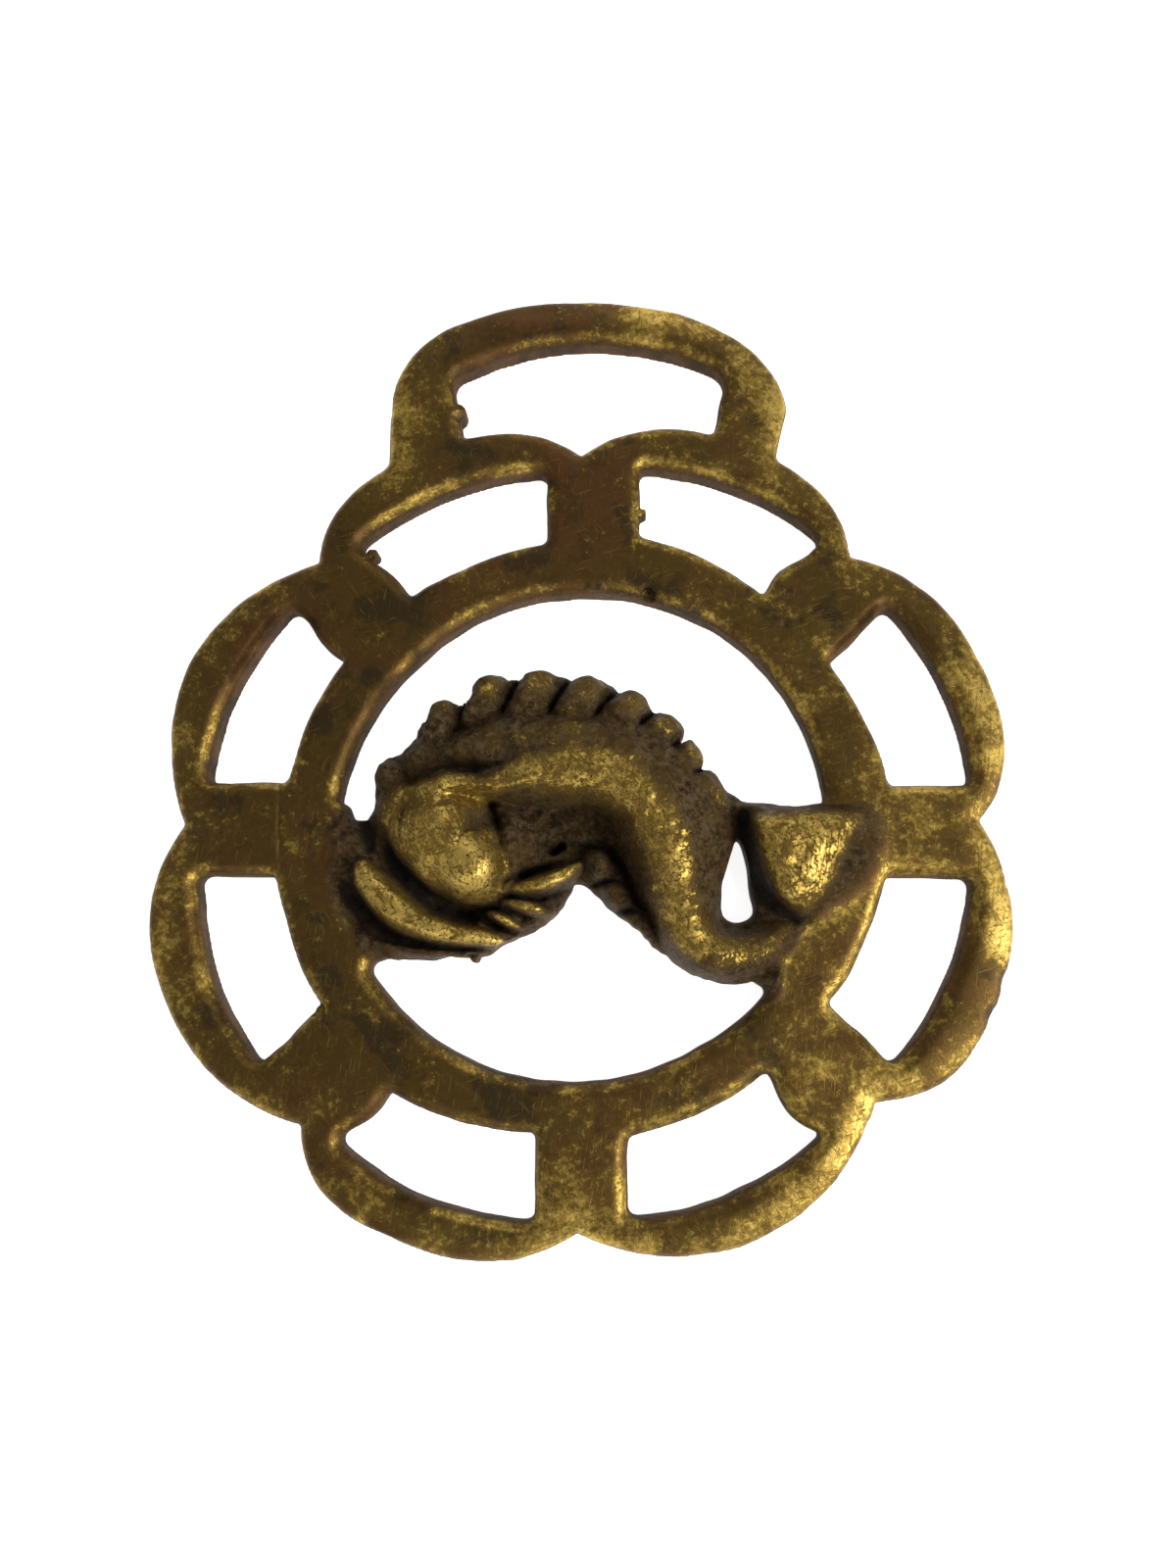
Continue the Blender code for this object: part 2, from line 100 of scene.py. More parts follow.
# The lobes: how far each stands out, where along it, how square it is, and its window's edges
Lobe = namedtuple("Lobe", "rise crest_at fullness band rim sides")
LOBES = [
    Lobe(3.9, 0.42, 2.7, (5.8, 5.1), (4.4, 4.4), (4.4, 4.8)),
    Lobe(4.0, 0.47, 2.8, (5.3, 6.0), (4.7, 4.7), (3.9, 5.2)),
    Lobe(3.9, 0.57, 3.2, (5.3, 5.2), (5.3, 5.3), (3.7, 4.4)),
    Lobe(4.1, 0.50, 1.75, (5.2, 5.1), (5.4, 5.4), (4.2, 4.9)),
    Lobe(4.3, 0.42, 2.2, (5.5, 5.2), (5.2, 5.2), (3.7, 5.7)),
    Lobe(3.6, 0.38, 3.0, (6.0, 4.4), (4.3, 4.9), (3.9, 4.0)),
    Lobe(3.5, 0.52, 2.2, (5.0, 4.8), (4.4, 4.4), (4.0, 3.4)),
    Lobe(4.4, 0.38, 2.5, (4.8, 5.5), (5.5, 4.3), (4.7, 3.95)),
]
WINDOW_SWELL = 0.35

# The hanger and its strap slot
HANGER_LEFT = 19.05
HANGER_RIGHT = 19.35
HANGER_TOP = 53.0
HANGER_SHOULDER = 41.0
HANGER_LEFT_FULLNESS = 2.45
HANGER_RIGHT_FULLNESS = 2.0
HANGER_RIGHT_LEAN = 0.2
HANGER_BAR = 4.4
HANGER_LEG_TOP = 5.8
HANGER_LEG_FOOT = 7.3
SLOT_SAG = 3.5
SLOT_SHIFT = 0.2
SLOT_FOOT = 38.0
SLOT_LOWEST = 36.0
HANGER_FROM = 20.0

# The web under the figure, in hundredths of the bore's radius, clockwise from the crest's right end
FIGURE = RING_BORE / 2 / 100
WEB_SEAT = 2.2
CREST_CENTRE = (-11.5, 4.5)
WEB_TOP_RIGHT = [(60, 16), (70, 12.8), (84, 11), (98, 12.5)]
WEB_BELLY = [(71, -60.5), (52, -59), (35, -50), (22, -39), (8.5, -29), (-1.3, -19.8)]
WEB_CHIN = [(-10.7, -31.5), (-22, -40.3), (-33, -45.5), (-43, -49), (-65, -50.2), (-83, -51.5)]
WEB_NECK = [(-99, 13), (-95, 6.5), (-89.5, 6), (-85, 12), (-85.5, 23), (-79, 31), (-71, 37), (-66.5, 47)]
WEB_RIGHT_SWEEP = (6.0, -42.0)
WEB_LEFT_SWEEP = (214.0, 178.0)
WEB_CREST_SWEEP = (140.0, 14.0)
WEB_CREST_RADIUS = 61.0
CREST_POINTS = 12
SEAT_POINTS = 7
TAIL_GAP = [
    (62.5, -2), (66, -12), (67, -23), (68.3, -31.5), (62.5, -35.3), (56.3, -33), (55.3, -23), (58, -12)]
TAIL_GAP_CORNER = 0.4

# The figure's forms. height: top, from the back; swell: how full the section is, 2 for an ellipse
Dome = namedtuple("Dome", "name at radii height turn swell", defaults=(0, 2.0))
DOMES = [
    Dome("nape", (-16.6, 1.8), (2.6, 4.4), 5.4),
    Dome("neck", (-14.2, 6.2), (3.2, 3.2), 5.4),
    Dome("knob", (-17.5, 5.2), (1.9, 1.8), 4.8, 0, 2.6),
    Dome("mouth", (-13.7, -3.8), (5.8, 5.4), 4.4),
    Dome("cheek", (-5.6, -0.9), (2.4, 3.6), 5.2, 8),
    Dome("cheek_foot", (-3.6, -2.6), (3.6, 2.6), 3.9),
    Dome("fin_root", (-5.2, -6.1), (4.2, 2.8), 4.2, 22),
    Dome("belly_lump", (1.5, -2.9), (1.5, 2.4), 5.0, 28, 2.2),
    Dome("belly_low", (3.1, -5.6), (1.4, 2.6), 4.7, 36, 2.2),
    Dome("belly_end", (5.2, -8.0), (1.5, 2.6), 4.4, 45, 2.2),
    Dome("side", (10.4, 0.2), (2.9, 4.6), 5.6, 0, 2.2),
    Dome("forehead", (-12.1, -0.7), (6.6, 5.4), 8.5, -50, 2.5),
    Dome("temple", (-9.9, -3.2), (3.8, 3.6), 8.5, 0, 3.0),
]

# Ridges run through places in the plan, each with a half width and a height of its top
Ridge = namedtuple("Ridge", "name swell blend path")
SHOULDER = Ridge("shoulder", 2.0, 0.5, [
    (-12.6, 6.0, 2.6, 5.4), (-9.4, 7.2, 3.7, 6.2), (-6.0, 7.4, 4.4, 6.8), (-2.4, 7.3, 4.6, 7.0)])
FIN_BAND = Ridge("fin_band", 2.6, 0.4, [
    (-13.0, 9.6, 1.6, 3.9), (-8.9, 12.2, 1.9, 4.2), (-4.3, 12.9, 2.1, 4.2), (0.2, 12.5, 2.1, 4.2),
    (4.2, 11.0, 2.1, 4.2), (7.3, 9.0, 2.0, 4.2), (9.6, 6.6, 1.9, 4.2), (11.4, 3.7, 1.9, 4.3),
    (12.3, 0.2, 1.6, 4.4), (12.2, -3.4, 1.3, 4.2)])
RIDGES = [
    Ridge("brow", 2.4, 0.6, [
        (-13.6, 3.0, 1.9, 7.7), (-11.0, 3.9, 1.6, 7.9), (-8.4, 3.9, 1.4, 7.9), (-6.3, 3.8, 1.5, 7.8),
        (-4.4, 4.4, 1.9, 7.8)]),
    Ridge("cheek_rim", 2.0, 0.5, [
        (-7.2, 1.8, 1.4, 5.8), (-6.6, 0.6, 1.8, 6.0), (-6.3, -1.9, 1.8, 6.0), (-6.7, -4.2, 1.5, 5.6),
        (-7.8, -5.9, 1.0, 4.8)]),
    Ridge("jaw", 3.0, 0.4, [
        (-19.8, -3.2, 1.1, 4.8), (-18.8, -4.7, 1.8, 5.7), (-17.1, -6.3, 2.1, 6.1),
        (-15.3, -7.6, 1.9, 6.0), (-13.0, -8.6, 1.5, 5.8), (-10.6, -9.2, 1.25, 5.4),
        (-8.4, -9.5, 1.05, 4.9), (-6.9, -9.9, 0.7, 4.2)]),
    Ridge("chin", 2.2, 0.4, [
        (-19.6, -9.0, 1.0, 3.7), (-17.2, -9.9, 1.1, 3.9), (-14.2, -10.4, 1.0, 3.9), (-11.3, -10.6, 0.9, 3.7),
        (-9, -10.5, 0.7, 3.5)]),
    Ridge("fin_upper", 2.6, 0.2, [
        (-6.4, -5.1, 0.7, 4.8), (-4.4, -5.0, 1.2, 5.6), (-2.8, -4.6, 1.25, 5.8), (-1.3, -3.8, 1.0, 5.5),
        (-0.2, -2.9, 0.5, 4.6)]),
    Ridge("fin_middle", 2.4, 0.2, [
        (-7.0, -6.2, 0.6, 4.6), (-5.4, -6.5, 1.0, 5.2), (-4.2, -6.9, 1.0, 5.1), (-2.9, -7.2, 0.6, 4.3)]),
    Ridge("fin_lower", 2.4, 0.2, [(-8.2, -7.3, 0.6, 4.6), (-6.8, -7.9, 0.85, 4.9), (-5.5, -8.5, 0.5, 4.2)]),
    Ridge("fin_seat", 2.0, 0.3, [(-9.2, -8.0, 0.6, 3.9), (-7.4, -8.9, 0.8, 4.1), (-6.0, -9.4, 0.6, 3.7)]),
    Ridge("fluke_wall", 2.0, 0.6, [(13.8, 2.2, 0.9, 3.6), (15.2, 1.7, 1.4, 4.2), (16.2, 1.2, 1.5, 4.4)]),
    Ridge("fluke_foot", 2.0, 0.8, [
        (20.4, -5.0, 5.2, 3.3), (22.2, -3.2, 5.8, 3.4), (23.8, -1.2, 5.8, 3.4), (24.6, 0.4, 4.6, 3.3)]),
]

# The back, a hill that is gentle on its outer side: place, outer and inner half widths, height of its top
BACK = [
    (-7.4, 4.3, 3.0, 1.6, 7.3), (-4.9, 4.4, 5.0, 2.2, 7.9), (-2.3, 4.8, 6.2, 2.7, 8.2),
    (0.6, 4.9, 6.8, 3.0, 8.3), (3.0, 4.3, 6.9, 3.1, 8.3), (5.2, 2.6, 6.8, 3.2, 8.2),
    (6.5, 0.0, 6.4, 3.2, 8.1), (7.5, -2.9, 5.8, 3.1, 7.9), (8.4, -5.8, 4.6, 3.0, 7.7),
    (9.1, -8.2, 3.6, 2.9, 7.4), (10.4, -10.1, 3.0, 2.6, 7.1), (12.4, -11.0, 2.8, 2.3, 6.7),
    (15.0, -10.6, 2.4, 2.1, 5.9), (17.1, -9.3, 2.0, 1.9, 4.8), (18.8, -8.1, 1.6, 1.5, 3.5)]
BACK_SWELL_LEFT = 2.0
BACK_SWELL_RIGHT = 2.5
BACK_BLEND = 0.9
FORM_BLEND = 0.7

# The crest's fingers: tip, base and half width of each, from the head to the tail
Finger = namedtuple("Finger", "tip base half")
FINGERS = [Finger(*row) for row in (
    ((-12.6, 12.6), (-13.4, 8.4), 1.6), ((-7.9, 14.9), (-9.7, 10.3), 2.0),
    ((-3.2, 15.3), (-5.4, 10.6), 2.2), ((1.4, 14.6), (-1.1, 10.6), 2.3), ((5.6, 13.0), (2.8, 9.8), 2.05),
    ((8.8, 10.5), (6.1, 8.3), 1.8), ((10.9, 7.7), (8.6, 6.2), 1.45), ((12.5, 4.5), (10.3, 3.9), 1.7))]
FINGER_HEIGHT = 5.2
FINGER_TIP_HEIGHT = 4.7
FINGER_BASE = 5.2
FINGER_WAIST = 0.95
FINGER_WIDENS = 0.75
FINGER_SWELL = 3.8
FINGER_BLEND = 0.05

# The gaps between the fingers: how far in from the tips, and the half width and the depth there
GAP_WIDTH = 0.22
GAP_DEPTH = 1.1
GAP_PATH = [
    (0.15, 1.3 * GAP_WIDTH, GAP_DEPTH), (0.55, GAP_WIDTH, 0.8 * GAP_DEPTH),
    (1.0, 0.7 * GAP_WIDTH, 0.2 * GAP_DEPTH)]

# The tail's fluke, a pillow over its own outline that falls away to the right
FLUKE = [
    (15.2, 1.3), (18.5, 1.7), (21.8, 1.8), (25.0, 1.4), (23.9, -0.8), (22.7, -2.8), (22.0, -4.6),
    (21.0, -6.3), (19.4, -7.3), (17.6, -7.0), (16.2, -5.4), (15.5, -3.2), (15.1, -1.0)]
FLUKE_TOP = 6.5
FLUKE_FOOT = 2.4
FLUKE_ROLL = 2.9
FLUKE_SPREAD = 0.9
FLUKE_ROUNDS = 24
FLUKE_FALL = 0.22
FLUKE_MIDDLE = 18.5

# Grooves: how dark they are painted with shade and grime, the places they run through, each with a half
# width and a depth
Groove = namedtuple("Groove", "name dark path")
GROOVES = [
    Groove("mouth", 1.0, [
        (-17.9, -1.7, 0.4, 0.4), (-16.7, -3.4, 0.6, 1.3), (-14.9, -5.1, 0.75, 1.5), (-12.9, -6.4, 0.7, 1.5),
        (-10.8, -7.2, 0.6, 1.3), (-8.9, -7.7, 0.45, 1.0), (-7.5, -8.7, 0.3, 0.5)]),
    Groove("undercut", 1.0, [
        (-21.7, -4.6, 0.5, 0.6), (-20.6, -6.4, 0.9, 2.0), (-18.7, -8.3, 0.9, 2.3), (-16.2, -9.6, 0.5, 1.6),
        (-13.2, -10.2, 0.3, 1.0), (-10.4, -10.4, 0.25, 0.7), (-8.2, -10.4, 0.2, 0.3)]),
    Groove("valley", 1.0, [(-20.8, 2.0, 0.5, 0.3), (-19.6, 0.3, 0.7, 0.7), (-19.3, -1.4, 0.5, 0.5)]),
    Groove("dome_foot", 1.0, [
        (-17.9, 0.6, 0.3, 0.2), (-17.2, -1.6, 0.4, 0.6), (-15.4, -3.7, 0.5, 0.9), (-13.4, -5.6, 0.5, 1.0),
        (-11.2, -6.7, 0.45, 0.9), (-8.9, -6.9, 0.4, 0.7), (-7.2, -6.2, 0.3, 0.4)]),
    Groove("notch", 0.6, [
        (-5.4, 0.9, 1.4, 0.1), (-6.6, 0.9, 1.5, 0.4), (-7.9, 0.9, 1.3, 1.1), (-8.9, 0.5, 0.9, 1.2),
        (-9.7, -0.1, 0.5, 0.8), (-10.2, -0.8, 0.25, 0.4)]),
    Groove("temple_side", 0.35, [
        (-6.9, 0.2, 0.6, 0.1), (-6.5, -1.2, 0.5, 0.2), (-6.3, -2.8, 0.4, 0.4), (-6.8, -4.6, 0.35, 0.6),
        (-7.8, -6.0, 0.25, 0.4)]),
    Groove("crack", 1.0, [
        (-15.0, 2.3, 0.1, 0.1), (-15.6, 1.2, 0.14, 0.45), (-15.9, 0.1, 0.14, 0.4),
        (-15.7, -1.2, 0.1, 0.1)]),
    Groove("behind_brow", 0.8, [
        (-14.9, 4.9, 0.4, 0.5), (-12.4, 5.8, 0.5, 0.8), (-10.0, 5.8, 0.5, 0.9), (-8.0, 5.6, 0.4, 0.8),
        (-6.6, 6.0, 0.3, 0.4)]),
    Groove("collar", 0.5, [
        (-13.9, 7.6, 0.4, 0.3), (-10.9, 9.4, 0.5, 0.4), (-7.6, 10.2, 0.5, 0.4), (-4.1, 10.7, 0.5, 0.4),
        (-0.7, 10.6, 0.5, 0.4), (2.9, 9.6, 0.5, 0.4), (5.9, 7.7, 0.5, 0.35), (8.3, 5.6, 0.4, 0.3),
        (10.3, 3.0, 0.4, 0.2)]),
    Groove("fin_one", 1.0, [
        (-7.4, -5.7, 0.25, 0.5), (-5.4, -5.9, 0.3, 0.9), (-3.4, -5.8, 0.3, 0.9), (-1.6, -5.0, 0.25, 0.6)]),
    Groove("fin_over", 0.6, [
        (-7.4, -4.6, 0.3, 0.5), (-5.6, -3.9, 0.35, 0.8), (-3.6, -3.3, 0.35, 0.8), (-1.8, -2.7, 0.3, 0.6)]),
    Groove("fin_two", 1.0, [(-8.2, -6.7, 0.25, 0.5), (-6.4, -7.1, 0.28, 0.8), (-4.6, -7.7, 0.25, 0.6)]),
    Groove("fin_three", 1.0, [(-8.8, -7.9, 0.2, 0.4), (-7.4, -8.5, 0.25, 0.6), (-6.0, -9.1, 0.2, 0.4)]),
    Groove("belly", 0.6, [
        (0.0, -1.2, 0.4, 0.5), (2.2, -1.4, 0.55, 0.9), (3.9, -3.9, 0.5, 0.7), (5.0, -6.3, 0.5, 0.6),
        (6.9, -9.2, 0.4, 0.3)]),
    Groove("lump_one", 1.0, [(0.9, -4.7, 0.2, 0.3), (2.1, -4.4, 0.3, 0.7), (3.1, -4.3, 0.2, 0.4)]),
    Groove("lump_two", 1.0, [(2.8, -7.2, 0.2, 0.3), (4.0, -7.0, 0.3, 0.6), (5.0, -7.1, 0.2, 0.4)]),
    Groove("fluke_side", 1.0, [
        (14.4, 1.7, 0.5, 0.7), (14.8, -0.9, 0.6, 1.4), (15.4, -3.6, 0.6, 1.4), (16.6, -6.0, 0.6, 1.3),
        (18.6, -7.6, 0.4, 0.8), (20.2, -7.8, 0.3, 0.3)]),
    Groove("scar", 0.0, [
        (1.6, 9.4, 0.1, 0.1), (4.6, 7.6, 0.12, 0.2), (7.8, 5.9, 0.12, 0.2), (11.0, 4.5, 0.1, 0.1)]),
    Groove("spoke_mark", 0.6, [
        (-27.9, 4.8, 0.12, 0.15), (-27.8, 1.0, 0.14, 0.25), (-27.4, -3.6, 0.12, 0.15)]),
    Groove("file_mark", 0.3, [
        (-24.4, -15.2, 0.12, 0.1), (-22.6, -17.2, 0.14, 0.2), (-21.0, -18.6, 0.1, 0.1)]),
]
# How dark the painted shade and grime in a groove gets for its depth
GROOVE_DARKENS = 1.1

# Pits and dents: place, radius, depth
PITS = [
    ((-2.6, -1.6), 0.5, 1.5), ((-2.0, -1.2), 0.45, 1.7), ((37.6, -13.2), 1.0, 0.7),
    ((35.9, -16.0), 0.8, 0.6), ((18.6, 19.3), 0.35, 0.25), ((19.9, 19.9), 0.45, 0.3),
    ((21.1, 20.6), 0.3, 0.25), ((18.0, 17.8), 0.3, 0.2)]
# How dark the painted shade and grime in a pit gets for its depth
PIT_DARKENS = 1.2

# Round bosses in the slanting spokes: how far out, direction in degrees, radius
BOSSES = [(30.4, 45.0, 4.7), (30.4, 135.0, 4.6), (30.4, 225.0, 4.6), (30.4, 315.0, 4.6)]

# Burrs left by the mould: place, half width, height of the top
BURRS = [
    ((-20.4, 27.2), 0.5, 2.2), ((5.4, 31.1), 0.4, 1.9), ((-23.5, -15.8), 0.4, 2.0),
    ((6.0, 22.6), 0.45, 1.8), ((-9.8, -11.3), 0.28, 2.2), ((9.8, 8.3), 0.3, 4.6), ((-12.6, 41.6), 0.9, 3.0)]
BURR_REACH = 0.3

# Casting roughness: size of its bumps and how high they are, on the rubbed work and on the dull
ROUGHNESS = [(3.4, 0.03, 0.20), (1.3, 0.012, 0.34), (0.6, 0.010, 0.26)]
ROUGHNESS_SEED = 60

# How far edges wander: size and amount of the bumps, on every edge and on the web's in the bore
EDGE_WANDER = [(5.0, 0.12), (1.6, 0.06)]
EDGE_SEED = 40
WEB_WANDER = [(1.8, 0.22), (0.7, 0.14)]
WEB_SEED = 50
WEB_WANDER_FADE = (0.0, 1.5)

# Where the figure's own finish starts: at this height over the plate, and raggedly along the bore
FIGURE_FADE = (PLATE - 0.4, PLATE + 0.5)
BORE_RAGGED = [(1.4, 0.7), (3.0, 0.7)]
RAGGED_SEED = 70
BORE_FADE = (-0.6, 1.0)

# Where the figure is rubbed bright: strength, and a band's places with a half width at each
POLISH = [
    (0.76, [(-13.4, 3.0, 1.5), (-10.8, 3.6, 1.3), (-8.9, 3.3, 1.1), (-7.3, 3.7, 0.9), (-5.8, 4.5, 1.1),
            (-4.6, 5.0, 1.4)]),
    (0.58, [(-4.4, 4.9, 1.4), (-2.0, 4.8, 1.9), (0.8, 4.9, 2.1), (3.2, 4.3, 2.2), (5.3, 2.6, 2.2),
            (6.6, 0.0, 2.0), (7.5, -2.8, 1.8), (8.3, -5.6, 1.7), (8.9, -8.0, 1.6), (10.3, -9.9, 1.4)]),
    (0.36, [(10.0, -9.7, 1.4), (12.4, -10.8, 1.3), (14.7, -10.4, 1.1), (16.5, -9.3, 0.9),
            (18.0, -8.2, 0.6)]),
    (0.90, [(-19.5, -3.6, 0.8), (-18.5, -4.8, 1.3), (-17.0, -6.3, 1.6), (-15.2, -7.6, 1.4),
            (-13.0, -8.6, 1.1), (-10.7, -9.1, 0.9), (-8.6, -9.4, 0.7), (-7.2, -9.8, 0.4)]),
    (0.80, [(-5.8, -5.0, 0.4), (-4.4, -4.9, 0.8), (-2.8, -4.5, 0.8), (-1.2, -3.7, 0.5), (-0.5, -3.1, 0.3)]),
    (0.70, [(-6.0, -6.4, 0.4), (-4.8, -6.7, 0.6), (-3.6, -7.0, 0.4)]),
    (0.65, [(-7.4, -7.7, 0.3), (-6.4, -8.1, 0.4), (-5.7, -8.4, 0.3)]),
    (0.24, [(-9.0, 7.4, 0.9), (-5.5, 8.2, 1.1), (-1.2, 8.2, 1.2), (3.0, 7.2, 1.2), (6.4, 5.0, 1.1)]),
    (0.34, [(9.9, 7.4, 0.8), (11.4, 5.0, 0.8), (12.4, 2.7, 0.6)]),
]
# The head's domes: the cheek at the lower right is brighter than the forehead, partly from wear and partly
# as a painted highlight on its lit side
DOMES_RUBBED_AND_LIT = [
    ((-12.4, -0.3), (6.1, 5.0), -50, 0.62),
    ((-9.3, -3.8), (3.2, 2.9), 0, 0.94),
]
FLUKE_POLISH = 0.62
POLISHED_TIP = 0.32
TIP_INSET = 0.8
MOST_POLISH = 1.2

# Where a rubbed place fades to nothing and where it is full, as shares of its size from its middle
BAND_FADE = (1.6, 0.5)
DOME_FADE = (1.2, 0.75)
TIP_FADE = (0.9, 0.3)
PATCH_FADE = (1.3, 0.6)
CRESCENT_FADE = (1.2, 0.7)
WARM_FADE = (1.4, 0.5)

# The same for the fluke, in millimetres inside its outline
FLUKE_FADE = (-0.5, 0.9)

# How bright the frame is rubbed: along its inner rims and outer edge, in patches, and more to the right,
# partly as painted light
FRAME_POLISH = 0.12
RIM_POLISH = 0.28
RIM_RISE = (0.0, 0.35)
RIM_FALL = (1.3, 0.5)
OUTER_POLISH = 0.32
OUTER_RISE = (-4.4, -1.2)
# The frame is brighter to the right, partly from wear and partly as painted light from the right
RIGHT_WEAR_AND_LIGHT = 0.18
RIGHT_RISE = (-30, 38)
RIGHT_SLANT = 0.4
# The outer edge on the left is dimmer, as painted shade on the side away from the light
LEFT_SHARE = 0.5
PATCHES = [(6.0, 0.6), (2.2, 0.3)]
PATCH_SEED = 80
RIM_PATCHES = 1.1
FRAME_PATCHES = 0.12

# Rims that a rough crust hides: place, radii, turn. Polish below nothing stands for the crust
DULLED = [((-29.0, 18.0), (6.5, 3.2), 45), ((25.3, 19.1), (3.6, 1.6), 45), ((-15.5, -33.0), (4.0, 1.6), 45)]
CRUSTED = -0.5

# A bright crescent over the upper left window
CRESCENT = ((-6.9, 35.0), (2.3, 0.8), 12)
CRESCENT_POLISH = 0.75

# Places of the frame that are rubbed more than the rest, or less: place, radii, strength
RUBBED = [
    ((-16.5, 43.5), (3.0, 6.5), 0.16), ((16.5, 43.5), (3.0, 6.5), 0.10), ((8.0, 50.5), (8.0, 2.5), 0.14),
    ((-35.5, -10.0), (3.5, 9.0), 0.22), ((18.6, 19.2), (5.0, 5.0), 0.08), ((27.5, 2.0), (4.0, 8.0), 0.10),
    ((34.5, -17.5), (6.0, 8.0), -0.24)]

# Where the patina is redder: place and radii, and along the rims
WARM = [((0.0, 50.0), (12.0, 5.0)), ((-1.0, 33.0), (7.0, 8.0)), ((-28.5, 17.5), (6.0, 6.0))]
RIM_WARMTH = 0.7

# How far hollows keep their patina, and how much the dull figure darkens where it is low
HOLLOW_KEEPS = 0.95
HOLLOW_REACH = 1.5
# The dull figure is darker where it is low
LOW_DARKENING = 0.5
LOW_FADE = (6.2, 3.0)

# Which way the surface faces, up being 1, on the front and on the walls, and how high the walls reach
FRONT_FACING = (-0.2, 0.3)
WALL_FACING = (0.55, 0.15)
WALL_BELOW = (PLATE - 0.3, PLATE - 1.0)

# The camera, above the piece and tilted as the photograph's was
CAMERA_AT = (4.85, -14.49, 108.0)
CAMERA_TILT = 10.5
CAMERA_TURN = 13.0
CAMERA_ROLL = -13.0
CAMERA_LENS = 27.0
CAMERA_SENSOR = 36.0

# Lights: name, place and size in metres, power in watts
LIGHTS = [
    ("key", (0.52, -0.22, 0.40), 0.42, 6.6),
    ("left", (-0.55, 0.05, 0.36), 0.35, 0.4),
    ("behind", (0.05, 0.60, 0.36), 0.35, 1.2),
    ("front", (-0.15, -0.62, 0.34), 0.35, 1.2),
]
WHITE = (1.0, 1.0, 1.0, 1.0)
WORLD_STRENGTH = 0.25
FLOOR_SIZE = 4.0
FLOOR_WHITE = (0.90, 0.90, 0.90, 1.0)
FLOOR_ROUGHNESS = 0.9
FLOOR_GLOW = 0.85


def between(a, b, share):
    return a + (b - a) * share


def soft_max(a, b, blend):
    """The larger of two fields, rounded where they cross."""
    share = np.clip(0.5 + 0.5 * (a - b) / blend, 0, 1)
    return b + (a - b) * share + blend * share * (1 - share)


def soft_min(a, b, blend):
    return -soft_max(-a, -b, blend)


def ramp(low, high, value):
    """0 below low, 1 above high, and an S between them."""
    share = np.clip((value - low) / (high - low), 0, 1)
    return share * share * (3 - 2 * share)


def blended(field, cell, share):
    """The field's value this share of the way from each cell to the next."""
    i, j = cell
    low = between(field[i, j], field[i + 1, j], share[0])
    high = between(field[i, j + 1], field[i + 1, j + 1], share[0])
    return between(low, high, share[1])


class Plan:
    """A grid of places over the casting, in millimetres."""

    def __init__(self, low, high):
        self.low = np.array([low.x, low.y]) / MM - MARGIN
        high = np.array([high.x, high.y]) / MM + MARGIN
        x = np.arange(self.low[0], high[0], STEP)
        y = np.arange(self.low[1], high[1], STEP)
        self.X, self.Y = np.meshgrid(x, y, indexing="ij")
        self.radius = np.hypot(self.X, self.Y)
        self.turn = np.degrees(np.arctan2(self.Y, self.X))
        self.shape = self.X.shape

    def near(self, places, reach):
        """The part of the grid within reach of the places."""
        places = np.asarray(places, float)[:, :2]
        first = np.floor((places.min(0) - reach - self.low) / STEP).astype(int)
        last = np.ceil((places.max(0) + reach - self.low) / STEP).astype(int)
        first = np.clip(first, 0, np.array(self.shape))
        last = np.clip(last, 0, np.array(self.shape))
        return slice(first[0], last[0]), slice(first[1], last[1])

    def sample(self, field, points):
        """The field's value at points given as rows of x and y."""
        place = np.clip((points - self.low) / STEP, 0, np.array(self.shape) - 1.001)
        cell = place.astype(int)
        return blended(field, cell.T, (place - cell).T)

    def noise(self, size, seed):
        """Smooth random bumps about this size apart, mostly between -1 and 1."""
        random = np.random.default_rng(seed)
        count = (np.array(self.shape) * STEP / size).astype(int) + 3
        lattice = random.uniform(-1, 1, count)
        place = np.stack([(self.X - self.low[0]) / size, (self.Y - self.low[1]) / size])
        cell = place.astype(int)
        share = place - cell
        return blended(lattice, cell, share * share * (3 - 2 * share))

    def roughened(self, field, bumps, seed, share=1.0):
        """The field with random bumps added, given as sizes and amounts."""
        for k, (size, amount) in enumerate(bumps):
            field = field + share * amount * self.noise(size, seed + k)
        return field


def smooth_path(points, closed=False, steps=8):
    """A Catmull-Rom curve through rows of numbers."""
    points = np.asarray(points, float)
    if closed:
        padded = np.concatenate([points[-1:], points, points[:2]])
    else:
        padded = np.concatenate([2 * points[:1] - points[1:2], points, 2 * points[-1:] - points[-2:-1]])
    line = []
    for k in range(1, len(padded) - 2):
        a, b, c, d = padded[k - 1:k + 3]
        for step in range(steps):
            t = step / steps
            line.append(b + 0.5 * t * (c - a + t * (2 * a - 5 * b + 4 * c - d + t * (3 * (b - c) + d - a))))
    line.append(padded[-2])
    return np.array(line)


def segments(plan, part, line):
    """For each stretch of the line: distance of the grid's places from it, positive on its left, and the
    line's values at the nearest point."""
    X, Y = plan.X[part], plan.Y[part]
    for start, end in zip(line[:-1], line[1:]):
        along = end[:2] - start[:2]
        length = max(along @ along, TINY)
        dx, dy = X - start[0], Y - start[1]
        share = np.clip((dx * along[0] + dy * along[1]) / length, 0, 1)
        distance = np.hypot(dx - share * along[0], dy - share * along[1])
        left = along[0] * dy - along[1] * dx > 0
        values = [between(a, b, share) for a, b in zip(start[2:], end[2:])]
        yield np.where(left, distance, -distance), start, end, values


